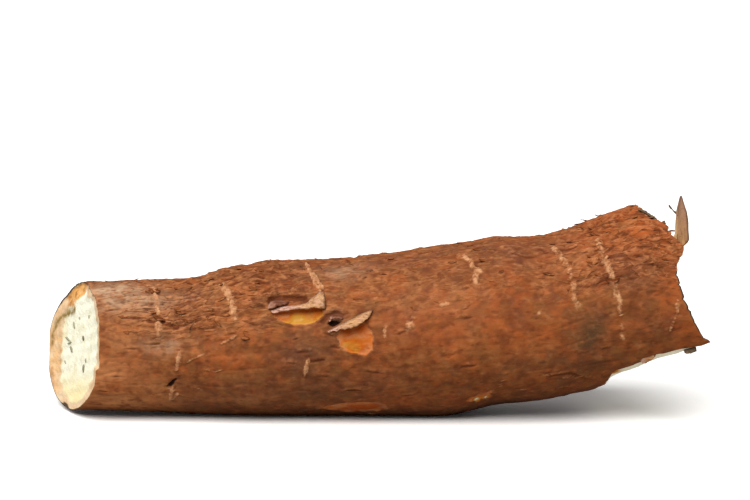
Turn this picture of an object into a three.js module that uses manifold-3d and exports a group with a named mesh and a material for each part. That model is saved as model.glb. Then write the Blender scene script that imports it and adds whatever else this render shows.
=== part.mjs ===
// A cassava root lying on its side, in millimetres: +X runs from the knife-cut end to the snapped end, +Z is up
// and -Y is the front. The origin is under the middle of the root, on the surface that it lies on.
// The root is one grown piece, so it is one solid: a long swollen body with a slanting cut at one end and a torn
// fracture with a pointed tongue at the other. Its bark has raised plates, pale ring scars, two torn windows with
// curled lips, and a splinter that stands up at the fracture.
import * as THREE from "three";
import { mergeVertices } from "three/addons/utils/BufferGeometryUtils.js";
import Module from "manifold-3d";

const wasm = await Module();
wasm.setup();

// Driving dimensions of the body. Each station is [x, bottom z, top z, half width in y].
// Where the bottom is below 0, the surface that the root lies on has left it a flat spot.
const STATIONS = [
  [-148, 2.0, 56.6, 27.0],
  [-128, 1.5, 57.2, 28.2],
  [-108, 1.2, 57.6, 29.2],
  [-88, 0.7, 57.8, 30.4],
  [-68, -0.2, 62.2, 32.2],
  [-50, -0.7, 65.6, 33.8],
  [-20, -0.7, 67.2, 34.6],
  [10, -0.7, 70.2, 35.6],
  [32, -0.6, 74.6, 36.6],
  [53, 4.2, 78.2, 37.4],
  [72, 6.2, 78.6, 37.4],
  [88, 9.4, 83.2, 37.2],
  [101, 12.4, 89.2, 37.0],
  [113, 15.0, 91.2, 36.6],
  [128, 18.0, 88.0, 35.6],
  [146, 22.0, 84.0, 33.0],
];
const BODY_END = 144; // the body is built out to here before the fracture takes the rest
const FRAME_SHIFT = [1.3, -0.4]; // brings the middle of the finished root's box over the origin

// The knife cut: x where it crosses the axis, and how far it slants with y and with z.
const CUT = { x: -130.6, slantY: -0.507, slantZ: 0.14 };
const CUT_DISHING = 1.2; // how far the flesh sinks inside the rind
const RIND_RING = 0.9; // share of the radius where the rind begins
const CRACK = { from: 100, to: 205, depth: 2.2, nearShare: 0.56, farShare: 0.77 }; // where the flesh has split
const CHIPPED_RIM = { from: 75, to: 165, depth: 3.6 }; // degrees: the rim is broken back along this stretch
const STRAIGHTENED_BY = 0.3; // share of the length over which the cut's slant fades out of the mesh

// The fracture: [degrees round the root, x of its edge]. 0 is the front, 90 the top and -90 the underside.
const FRACTURE_EDGE = [
  [-180, 107],
  [-150, 101],
  [-130, 96],
  [-110, 93],
  [-90, 93.5],
  [-74, 95],
  [-66, 96.8],
  [-59, 99.0],
  [-54, 101],
  [-51.5, 104],
  [-50, 109],
  [-47, 114.5],
  [-44, 120],
  [-41.5, 125],
  [-39.5, 129],
  [-37, 133.5],
  [-34, 138],
  [-31, 142.6],
  [-28.5, 141],
  [-25.5, 138.6],
  [-16, 135.6],
  [-6, 132.8],
  [7, 129.8],
  [19.5, 128.0],
  [27, 127],
  [33, 127.6],
  [40, 129.8],
  [46, 131.2],
  [51, 128],
  [60, 124],
  [66, 119.5],
  [74, 115.5],
  [84, 113],
  [98, 112.5],
  [110, 113.5],
  [122, 112],
  [140, 108],
  [160, 111],
  [180, 107],
];
const FRACTURE_HEART = { x: 108, y: 2, z: 49 }; // the middle of the torn face
const FRACTURE_LUMPS = 2.6; // height of the lumps of torn flesh
const BEYOND = 20; // how far past the body the part that is torn off reaches

// Mesh density of the body and of the two ends.
const AROUND = 50;
const ALONG = 54;
const FRACTURE_AROUND = 60;
const SPOKE_GAP = 2.5; // degrees: an even spoke this close to a corner of the edge is left out
const FRACTURE_RINGS = [0.18, 0.36, 0.54, 0.72, 0.88, 1.0, 1.35];

// Bark plates, larger than life, and where they stand out most.
const PLATE = { length: 15, around: 30, height: 1.15, crack: 0.22 };
const BARK = 1.0; // thickness of a curl of bark

const radians = (degrees) => (degrees * Math.PI) / 180;
const mix = (a, b, t) => a + (b - a) * t;
const clamp01 = (t) => Math.min(1, Math.max(0, t));
const smooth = (low, high, v) => {
  const t = clamp01((v - low) / (high - low));
  return t * t * (3 - 2 * t);
};

// A repeatable number from 0 to 1 for a whole-number place.
function hash(i, j, salt) {
  let h = Math.imul(i, 374761393) ^ Math.imul(j, 668265263) ^ Math.imul(salt, 2246822519);
  h = Math.imul(h ^ (h >>> 13), 1274126177);
  return ((h ^ (h >>> 16)) >>> 0) / 4294967296;
}

// A column of the stations at x, by a smooth curve through them.
function station(x, column) {
  let i = STATIONS.findIndex((row) => row[0] > x) - 1;
  if (i < 0) i = x < STATIONS[0][0] ? 0 : STATIONS.length - 2;
  const slope = (k) => {
    const a = STATIONS[Math.max(k - 1, 0)];
    const b = STATIONS[Math.min(k + 1, STATIONS.length - 1)];
    return (b[column] - a[column]) / (b[0] - a[0]);
  };
  const [p, q] = [STATIONS[i], STATIONS[i + 1]];
  const span = q[0] - p[0];
  const t = clamp01((x - p[0]) / span);
  return (
    (2 * t ** 3 - 3 * t ** 2 + 1) * p[column] +
    (t ** 3 - 2 * t ** 2 + t) * span * slope(i) +
    (3 * t ** 2 - 2 * t ** 3) * q[column] +
    (t ** 3 - t ** 2) * span * slope(i + 1)
  );
}

// The root's own uneven roundness: a share of the radius to add at x and angle a.
function swelling(x, a) {
  const free = smooth(-1, -0.55, Math.sin(a)); // the underside stays even
  return (
    free *
    (0.012 * Math.sin(2 * a + 0.021 * x + 0.6) +
      0.011 * Math.sin(3 * a - 0.034 * x + 1.9) +
      0.007 * Math.sin(5 * a + 0.062 * x) +
      0.008 * Math.sin(0.11 * x + 2.2 * Math.cos(a)))
  );
}

// How rough the bark is at x and angle a, from 0 on the underside to 1 on the flaking upper side.
function roughness(x, a) {
  const high = smooth(-0.2, 0.75, Math.sin(a));
  const ends = Math.max(smooth(70, 105, x), smooth(-20, -60, x) * smooth(-112, -92, x));
  const free = smooth(-1, -0.72, Math.sin(a));
  return free * mix(0.35, mix(0.7, 1.0, ends), high);
}

// Height of the bark plate under x and angle a: flat-topped scales parted by cracks.
function plates(x, a) {
  const s = x / PLATE.length;
  const t = (a / (2 * Math.PI)) * PLATE.around;
  const [si, ti] = [Math.floor(s), Math.floor(t)];
  let [first, second, height] = [9, 9, 0];
  for (let i = si - 1; i <= si + 1; i++)
    for (let j = ti - 1; j <= ti + 1; j++) {
      const column = ((j % PLATE.around) + PLATE.around) % PLATE.around;
      const d = Math.hypot(s - i - hash(i, column, 1), t - j - hash(i, column, 2));
      if (d < first) {
        [second, first] = [first, d];
        height = hash(i, column, 3);
      } else second = Math.min(second, d);
    }
  return height * smooth(0, PLATE.crack, second - first) - 0.5;
}

// A point of the skin at x and angle a, lifted by some millimetres. Plates are counted where bark is wanted.
function skin(x, a, lift = 0, bark = false) {
  const bottom = station(x, 1);
  const top = station(x, 2);
  const wide = station(x, 3);
  const high = (top - bottom) / 2;
  const grown = 1 + swelling(x, a);
  const out = new THREE.Vector2(-Math.cos(a) / wide, Math.sin(a) / high).normalize();
  const rise = lift + (bark ? PLATE.height * roughness(x, a) * plates(x, a) : 0);
  return new THREE.Vector3(
    x,
    -wide * grown * Math.cos(a) + rise * out.x,
    (top + bottom) / 2 + high * grown * Math.sin(a) + rise * out.y,
  );
}

// x of the knife cut at a point of the section.
const cutAt = (y, z) => CUT.x + CUT.slantY * y + CUT.slantZ * (z - station(CUT.x, 2) / 2);

// Joins rings of points, and a point at each end, into one closed mesh with its faces outwards.
function closedTube(rings, first, last) {
  const count = rings[0].length;
  const points = [first, ...rings.flat(), last];
  const index = [];
  const at = (ring, k) => 1 + ring * count + (k % count);
  for (let k = 0; k < count; k++) {
    index.push(0, at(0, k), at(0, k + 1));
    index.push(points.length - 1, at(rings.length - 1, k + 1), at(rings.length - 1, k));
    for (let r = 0; r + 1 < rings.length; r++) {
      index.push(at(r, k), at(r + 1, k), at(r + 1, k + 1));
      index.push(at(r, k), at(r + 1, k + 1), at(r, k + 1));
    }
  }
  return geometryOf(points, index);
}

// A closed slab between two surfaces: at(u, v, side) gives a point of the inner (0) or outer (1) one.
function slab(at, across, along) {
  const points = [];
  const index = [];
  const id = (i, j, side) => (side * (across + 1) + i) * (along + 1) + j;
  for (const side of [0, 1])
    for (let i = 0; i <= across; i++)
      for (let j = 0; j <= along; j++) points.push(at(i / across, j / along, side));
  const quad = (a, b, c, d) => index.push(a, b, c, a, c, d);
  for (let i = 0; i < across; i++)
    for (let j = 0; j < along; j++) {
      quad(id(i, j, 0), id(i, j + 1, 0), id(i + 1, j + 1, 0), id(i + 1, j, 0));
      quad(id(i, j, 1), id(i + 1, j, 1), id(i + 1, j + 1, 1), id(i, j + 1, 1));
    }
  for (let i = 0; i < across; i++) {
    quad(id(i, 0, 0), id(i + 1, 0, 0), id(i + 1, 0, 1), id(i, 0, 1));
    quad(id(i + 1, along, 0), id(i, along, 0), id(i, along, 1), id(i + 1, along, 1));
  }
  for (let j = 0; j < along; j++) {
    quad(id(0, j + 1, 0), id(0, j, 0), id(0, j, 1), id(0, j + 1, 1));
    quad(id(across, j, 0), id(across, j + 1, 0), id(across, j + 1, 1), id(across, j, 1));
  }
  return geometryOf(points, index);
}

function geometryOf(points, index) {
  const geometry = new THREE.BufferGeometry().setFromPoints(points);
  geometry.setIndex(index);
  return geometry;
}

// A closed three.js geometry as a solid that can be joined and cut, with its faces turned outwards.
function solid(geometry) {
  const bare = geometry.clone();
  bare.deleteAttribute("normal");
  bare.deleteAttribute("uv");
  const merged = mergeVertices(bare, 1e-4);
  const vertProperties = new Float32Array(merged.attributes.position.array);
  const triVerts = new Uint32Array(merged.index.array);
  const made = new wasm.Manifold(new wasm.Mesh({ numProp: 3, vertProperties, triVerts }));
  if (made.volume() > 0) return made;
  for (let i = 0; i < triVerts.length; i += 3)
    [triVerts[i + 1], triVerts[i + 2]] = [triVerts[i + 2], triVerts[i + 1]];
  return new wasm.Manifold(new wasm.Mesh({ numProp: 3, vertProperties, triVerts }));
}

// The body, with the knife-cut end finished and the other end left long.
function body() {
  const angles = Array.from({ length: AROUND }, (_, k) => (2 * Math.PI * k) / AROUND);
  const chip = (degrees) =>
    CHIPPED_RIM.depth *
    smooth(CHIPPED_RIM.from, CHIPPED_RIM.from + 25, degrees) *
    smooth(CHIPPED_RIM.to, CHIPPED_RIM.to - 30, degrees);
  const split = (degrees) =>
    smooth(CRACK.from, CRACK.from + 20, degrees) * smooth(CRACK.to, CRACK.to - 20, degrees);
  const crackShare = (degrees) => mix(CRACK.nearShare, CRACK.farShare, smooth(CRACK.from, 170, degrees));
  const rimX = (a) => {
    const p = skin(CUT.x, a);
    return cutAt(p.y, p.z) + 0.6 * chip((a * 180) / Math.PI);
  };
  const axis = new THREE.Vector3(CUT.x, 0, station(CUT.x, 2) / 2);
  const face = (shareAt, depth = 0) =>
    angles.map((a) => {
      const degrees = (a * 180) / Math.PI;
      const share = shareAt(degrees);
      const p = axis.clone().lerp(skin(rimX(a), a), share);
      const dish = CUT_DISHING * (1 - share ** 4);
      const broken = chip(degrees) * smooth(CRACK.farShare, 1, share);
      p.x = cutAt(p.y, p.z) + dish + depth * split(degrees) + broken;
      return p;
    });
  const cutFace = [
    face(() => 0.25),
    face((degrees) => crackShare(degrees) - 0.12),
    face((degrees) => crackShare(degrees) - 0.04),
    face(crackShare, CRACK.depth),
    face((degrees) => crackShare(degrees) + 0.05),
    face(() => RIND_RING),
    face(() => 0.97),
  ];
  const rings = [];
  for (let r = 0; r <= ALONG; r++) {
    const t = r / ALONG;
    rings.push(
      angles.map((a) => {
        const straight = mix(CUT.x, BODY_END, t);
        const x = straight + (rimX(a) - CUT.x) * (1 - smooth(0, STRAIGHTENED_BY, t));
        return skin(x, a, 0, t > 0);
      }),
    );
  }
  const heart = axis.clone();
  heart.x = cutAt(heart.y, heart.z) + CUT_DISHING;
  const end = new THREE.Vector3(BODY_END, 0, (station(BODY_END, 1) + station(BODY_END, 2)) / 2);
  return solid(closedTube([...cutFace, ...rings], heart, end));
}

// x of the fracture's edge at an angle in degrees.
function fractureEdge(degrees) {
  const i = Math.max(1, FRACTURE_EDGE.findIndex((row) => row[0] >= degrees));
  const [p, q] = [FRACTURE_EDGE[i - 1], FRACTURE_EDGE[i]];
  return mix(p[1], q[1], (degrees - p[0]) / (q[0] - p[0]));
}

// Everything beyond the torn face, to be taken off the body.
function beyondFracture() {
  const { x: heartX, y: heartY, z: heartZ } = FRACTURE_HEART;
  const spokes = Array.from({ length: FRACTURE_AROUND }, (_, k) => -180 + (360 * k) / FRACTURE_AROUND);
  const corners = FRACTURE_EDGE.map((row) => row[0]).filter((degrees) => degrees < 180);
  const clear = spokes.filter((degrees) => corners.every((corner) => Math.abs(corner - degrees) > SPOKE_GAP));
  const angles = [...corners, ...clear].sort((a, b) => a - b);
  const torn = (y, z) =>
    Math.sin(0.17 * y + 1.1) * Math.cos(0.13 * z) +
    0.8 * Math.sin(0.31 * y - 0.23 * z + 0.7) +
    0.5 * Math.sin(0.52 * z);
  const rings = FRACTURE_RINGS.map((share) =>
    angles.map((degrees) => {
      const edge = fractureEdge(degrees);
      const rim = skin(edge, radians(degrees));
      const p = new THREE.Vector3(0, mix(heartY, rim.y, share), mix(heartZ, rim.z, share));
      p.x = mix(heartX, edge, Math.min(share, 1) ** 1.6);
      p.x += FRACTURE_LUMPS * torn(p.y, p.z) * smooth(1, 0.6, share);
      return p;
    }),
  );
  const far = rings[rings.length - 1].map((p) => new THREE.Vector3(BODY_END + BEYOND, p.y, p.z));
  const heart = new THREE.Vector3(heartX + FRACTURE_LUMPS * torn(heartY, heartZ), heartY, heartZ);
  const behind = new THREE.Vector3(BODY_END + BEYOND, heartY, heartZ);
  return solid(closedTube([...rings, far], heart, behind));
}

// The surface that the root lies on, with its top at z = 0.
function surface() {
  const block = new THREE.BoxGeometry(400, 200, 20);
  block.translate(0, 0, -10);
  return solid(block);
}

// A pale ring scar: [x, first degrees, last degrees, how far it leans along x, width].
const SCARS = [
  [-92.5, 22, 70, -4.0, 2.2],
  [-61.5, 25, 62, -5.0, 2.4],
  [-25.5, 44, 78, -7.0, 2.2],
  [40, 34, 68, -6.3, 2.2],
  [81.5, 12, 63, -9.0, 2.2],
  [100.2, -2, 58, -8.0, 2.2],
  [-84.8, -42, 4, 4.7, 2.0],
  [-29.2, -18, -5, 1.2, 2.2],
  [54.5, -42, -27, 2.5, 1.8],
  [-110, 120, 168, 3.0, 2.2],
  [-72, 150, 215, -3.5, 2.2],
  [-20, 112, 150, 3.0, 2.2],
  [-2, 170, 232, 4.0, 2.2],
  [30, 128, 182, -4.0, 2.2],
  [62, 146, 204, 4.5, 2.2],
  [84, 110, 150, 3.5, 2.0],
];
const SCAR_HEIGHT = 1.1;
const SCAR_STEP = 8; // degrees between the points along a scar

function scar([x, from, to, lean, width]) {
  const steps = Math.max(3, Math.round((to - from) / SCAR_STEP));
  return solid(
    slab(
      (u, v, side) => {
        const crest = Math.sin(Math.PI * u) * (0.35 + 0.65 * Math.sin(Math.PI * v));
        const lift = side ? -0.4 + (SCAR_HEIGHT + 0.4) * crest : -2;
        const wave = 0.7 * Math.sin(9 * v + x);
        return skin(x + lean * (v - 0.5) + wave + width * (u - 0.5), radians(mix(from, to, v)), lift);
      },
      2,
      steps,
    ),
  );
}

// A torn window in the bark: its middle, half length along x, half height in degrees, tilt and depth.
const WINDOWS = [
  { x: -32.0, degrees: 26, halfLength: 10.6, halfHeight: 5.6, tilt: 1.0, depth: 1.3 },
  { x: -8.6, degrees: 9, halfLength: 7.6, halfHeight: 9.5, tilt: -1.0, depth: 1.3 },
  { x: 45, degrees: -47, halfLength: 5.5, halfHeight: 6.0, tilt: 0, depth: 1.0 },
  { x: 18, degrees: 205, halfLength: 10, halfHeight: 7, tilt: -2, depth: 1.2 },
];

const windowDegrees = (w, s, v) =>
  w.degrees + w.tilt * s + w.halfHeight * (2 * v - 1) * Math.sqrt(Math.max(0.04, 1 - s * s));

function windowCut(w) {
  return solid(
    slab(
      (u, v, side) => {
        const s = 2 * u - 1;
        return skin(w.x + w.halfLength * s, radians(windowDegrees(w, s, v)), side ? 4 : -w.depth);
      },
      6,
      3,
    ),
  );
}

// The curled lip of bark along a window's upper edge: how far it stands out, and how far it reaches past each end.
const LIPS = [
  { over: WINDOWS[0], stand: 3.0, rise: 3.0, before: 1.05, after: 1.1, tilt: 2.0 },
  { over: WINDOWS[1], stand: 3.0, rise: 2.0, before: 1.4, after: 1.1, tilt: 6.5 },
  { over: WINDOWS[3], stand: 2.6, rise: 3.0, before: 1.0, after: 1.0, tilt: 0 },
];

function lip({ over, stand, rise, before, after, tilt }) {
  return solid(
    slab(
      (u, v, side) => {
        const s = mix(-before, after, u);
        const share = 1 - Math.abs(2 * u - 1) ** 3;
        const edge = windowDegrees(over, clamp01(Math.abs(s)) * Math.sign(s), 1) + tilt * s;
        const lift = -2 + (stand * (0.25 + 0.75 * share) + 2) * v + side * BARK * 0.3;
        return skin(over.x + over.halfLength * s, radians(edge + rise * v * share + side * 1.7), lift);
      },
      6,
      2,
    ),
  );
}

// The splinter of bark that stands up at the top of the fracture, as rows of [z, left x, right x] from its root.
const SPLINTER_ROWS = [
  [69, 113, 120],
  [75, 118, 126],
  [79.5, 126.5, 132],
  [84, 128.0, 133.4],
  [90, 128.8, 132.9],
  [95.5, 129.8, 131.8],
  [97.8, 130.4, 131.0],
];
const SPLINTER = { y: -20.5, lean: 0.08, thick: 1.5 };

function splinter() {
  const rows = SPLINTER_ROWS.length - 1;
  return solid(
    slab(
      (u, v, side) => {
        const [z, left, right] = SPLINTER_ROWS[Math.round(v * rows)];
        const bowed = 1.1 * Math.sin(Math.PI * u) + SPLINTER.lean * (z - SPLINTER_ROWS[0][0]);
        const half = SPLINTER.thick * mix(0.5, 0.22, v);
        return new THREE.Vector3(mix(left, right, u), SPLINTER.y + bowed + (side ? half : -half), z);
      },
      2,
      rows,
    ),
  );
}

// Lifted flakes of bark on the upper side, each a small scale whose free edge stands off the skin.
const FLAKES = { count: 22, seed: 11, thick: 0.8 };

function flake(n) {
  const r = (salt) => hash(n, FLAKES.seed, salt);
  const zone = n % 3;
  const x = zone === 0 ? mix(-96, -45, r(4)) : zone === 1 ? mix(62, 112, r(4)) : mix(-120, 105, r(4));
  const degrees = zone === 2 ? mix(95, 220, r(5)) : mix(52, 118, r(5));
  const half = mix(3.2, 6.5, r(6));
  const height = mix(4, 7, r(7));
  const lean = mix(-4, 4, r(8));
  const stand = mix(1.0, 1.9, r(9));
  return solid(
    slab(
      (u, v, side) => {
        const s = 2 * u - 1;
        const free = 1 - 0.6 * Math.abs(s) ** 2;
        const lift = mix(-1.4, stand * free, v) + (side ? FLAKES.thick * mix(1, 0.5, v) : 0);
        return skin(x + half * s * mix(1, 0.7, v), radians(degrees + lean * s - height * v * free), lift);
      },
      3,
      2,
    ),
  );
}

function cassavaRoot() {
  let root = body();
  for (const scarRow of SCARS) root = root.add(scar(scarRow));
  for (let n = 0; n < FLAKES.count; n++) root = root.add(flake(n));
  for (const w of WINDOWS) root = root.subtract(windowCut(w));
  for (const l of LIPS) root = root.add(lip(l));
  root = root.subtract(beyondFracture());
  root = root.add(splinter());
  root = root.subtract(surface());
  return root.decompose().sort((a, b) => b.volume() - a.volume())[0];
}

function meshOf(shape) {
  const made = shape.getMesh();
  const step = made.numProp;
  const points = [];
  for (let i = 0; i < made.vertProperties.length; i += step)
    points.push(new THREE.Vector3(...made.vertProperties.subarray(i, i + 3)));
  const geometry = geometryOf(points, Array.from(made.triVerts));
  geometry.computeVertexNormals();
  return geometry;
}

const bark = new THREE.MeshStandardMaterial({ color: 0x94552f, roughness: 0.85, metalness: 0 });
bark.flatShading = true;
const root = new THREE.Mesh(meshOf(cassavaRoot()), bark);
root.name = "cassava_root";
root.position.set(FRAME_SHIFT[0], FRAME_SHIFT[1], 0);

const part = new THREE.Group();
part.add(root);
export default part;
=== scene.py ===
"""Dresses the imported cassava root: flaking bark, ring scars, torn windows, cut and torn flesh, on a pale floor."""

from __future__ import annotations

import logging
import math
from collections.abc import Mapping, Sequence
from dataclasses import dataclass
from enum import Enum
from functools import partial, reduce
from itertools import product

import bmesh
import bpy
import numpy as np
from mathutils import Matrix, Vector


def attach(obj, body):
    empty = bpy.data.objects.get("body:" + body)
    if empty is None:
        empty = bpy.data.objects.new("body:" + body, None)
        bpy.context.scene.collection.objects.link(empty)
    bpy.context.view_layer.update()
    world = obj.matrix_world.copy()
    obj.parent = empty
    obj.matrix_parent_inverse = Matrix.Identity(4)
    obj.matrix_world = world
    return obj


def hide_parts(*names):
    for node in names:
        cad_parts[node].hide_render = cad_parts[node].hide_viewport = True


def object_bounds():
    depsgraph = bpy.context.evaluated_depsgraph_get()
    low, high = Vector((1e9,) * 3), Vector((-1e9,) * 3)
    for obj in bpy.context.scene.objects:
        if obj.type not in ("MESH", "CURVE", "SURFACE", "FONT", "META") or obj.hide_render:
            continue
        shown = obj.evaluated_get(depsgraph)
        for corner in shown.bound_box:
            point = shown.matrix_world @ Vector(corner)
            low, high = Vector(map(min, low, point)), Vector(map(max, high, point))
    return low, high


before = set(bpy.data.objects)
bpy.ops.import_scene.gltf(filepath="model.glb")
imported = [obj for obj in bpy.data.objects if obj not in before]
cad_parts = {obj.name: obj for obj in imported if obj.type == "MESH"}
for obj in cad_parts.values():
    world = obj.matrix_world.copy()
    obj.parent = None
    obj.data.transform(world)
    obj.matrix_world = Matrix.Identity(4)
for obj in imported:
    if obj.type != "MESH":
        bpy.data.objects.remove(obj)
CAD_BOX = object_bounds()

LOG = logging.getLogger("cassava_root")
MM = 0.001
BODY = "root"
GIRTH = 228.0  # the root's mean girth, in millimetres
GIRTH_RADIUS = GIRTH / (2 * math.pi)
TURN = 2 * math.pi
WORD = 2**32
ALONG_PRIME, ROUND_PRIME, SALT_PRIME, MIXING_PRIME = 374761393, 668265263, 2246822519, 1274126177
WINDOW_REACH = 4.0  # millimetres off a torn window's edge up to which the mask tells places apart

Array = np.ndarray
Number = float | Array
Point2 = tuple[float, float]
Point3 = tuple[float, float, float]
Line = tuple[Point2, ...]
Rows = tuple[tuple[float, ...], ...]
Masks = dict[str, Array]
Colour = tuple[int, int, int]
Piece = bpy.types.Object
Socket = bpy.types.NodeSocket
Sockets = Mapping[str, Socket]
Faces = list[Sequence[int]]


def smooth(low: Number, high: Number, value: Number) -> Array:
    """A soft step from 0 at low to 1 at high, which may be below low."""
    t = np.clip((value - low) / (high - low), 0.0, 1.0)
    return t * t * (3.0 - 2.0 * t)


def hump(rise: float, top: float, edge: float, fall: float, value: Number) -> Array:
    """A soft hump: 0 up to rise, 1 from top to edge, and 0 again from fall on."""
    return smooth(rise, top, value) * smooth(fall, edge, value)


def mix(a: Number, b: Number, t: Number) -> Array:
    """The value a share t of the way from a to b."""
    return a + (b - a) * t


def tone(red: int, green: int, blue: int) -> tuple[float, float, float, float]:
    """A display colour of 0 to 255 a channel as the linear colour that a shader wants."""
    linear = [c / 12.92 if c <= 0.04045 else ((c + 0.055) / 1.055) ** 2.4 for c in (red / 255, green / 255, blue / 255)]
    return (*linear, 1.0)


def scatter(i: Array, j: Array, salt: int) -> Array:
    """A repeatable number from 0 to 1 for each whole-number place, the same one that the solid's bark has.

    Args:
        i: Place along the root.
        j: Place round the root.
        salt: Which of several numbers is wanted there.

    Returns:
        The numbers, in the shape of i and j together.
    """
    i32, j32 = (np.asarray(k, np.int64).astype(np.uint32) for k in (i, j))
    with np.errstate(over="ignore"):
        h = i32 * np.uint32(ALONG_PRIME) ^ j32 * np.uint32(ROUND_PRIME) ^ np.uint32(salt * SALT_PRIME % WORD)
        h = (h ^ (h >> np.uint32(13))) * np.uint32(MIXING_PRIME)
        h = h ^ (h >> np.uint32(16))
    return h.astype(np.float64) / WORD


@dataclass(frozen=True)
class Grain:
    """Patterns of the bark in its chart, millimetres along the root and turns round it, so that none has a seam."""

    salt: int

    def waves(self, along: Number, turn: Array, length: float, width: float, salt: int = 0) -> Array:
        """Gradient noise from about -1 to 1, stretched along the root.

        Args:
            along: Millimetres along the root.
            turn: Turns round the root.
            length: A wave's length in millimetres.
            width: Its width in millimetres.
            salt: Tells one pattern from another.

        Returns:
            The noise at each place.
        """
        around = max(3, round(GIRTH / width))
        u, v = along / length, turn * around
        i, j = np.floor(u), np.floor(v)
        fu, fv = u - i, v - j

        def corner(di: int, dj: int) -> Array:
            """The share of one corner of the noise's grid."""
            spin = TURN * scatter(i + di, (j + dj) % around, self.salt + salt)
            return np.cos(spin) * (fu - di) + np.sin(spin) * (fv - dj)

        su, sv = fu**3 * (fu * (6 * fu - 15) + 10), fv**3 * (fv * (6 * fv - 15) + 10)
        return 1.5 * mix(mix(corner(0, 0), corner(1, 0), su), mix(corner(0, 1), corner(1, 1), su), sv)

    def cloud(self, along: Number, turn: Array, length: float, width: float, octaves: int, salt: int = 0) -> Array:
        """Waves with finer ones on top, each half as large and half as high as the last.

        Args:
            along: Millimetres along the root.
            turn: Turns round the root.
            length: The largest waves' length in millimetres.
            width: Their width in millimetres.
            octaves: How many sizes there are.
            salt: Tells one pattern from another.

        Returns:
            The sum at each place, from about -1 to 1.
        """
        total = np.zeros(np.broadcast(along, turn).shape)
        for k in range(octaves):
            total += 0.5**k * self.waves(along, turn, length * 0.5**k, width * 0.5**k, salt + 17 * k)
        return total / (2 - 0.5 ** (octaves - 1))

    def scales(self, along: Array, turn: Array, length: float, around: int, salt: int = 0) -> tuple[Array, ...]:
        """Jittered scales parted by cracks.

        Args:
            along: Millimetres along the root.
            turn: Turns round the root.
            length: Mean length of a scale, in millimetres.
            around: How many scales go round the root.
            salt: Tells one pattern from another.

        Returns:
            The distance to the nearest crack in scale sizes, a random number of the scale, a second one, and the
            place across the scale from its middle.
        """
        s, t = along / length, turn * around
        first = second = np.full(s.shape, 9.0)
        found = [np.zeros(s.shape)] * 3
        for di, dj in product((-1, 0, 1), repeat=2):
            i, j = np.floor(s) + di, np.floor(t) + dj
            draws = [scatter(i, np.mod(j, around), salt + k) for k in (1, 2, 3, 4)]
            across = t - j - draws[1]
            d = np.hypot(s - i - draws[0], across)
            nearer = d < first
            second = np.where(nearer, first, np.minimum(second, d))
            first = np.where(nearer, d, first)
            found = [np.where(nearer, new, old) for new, old in zip((*draws[2:], across), found)]
        return second - first, *found


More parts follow.
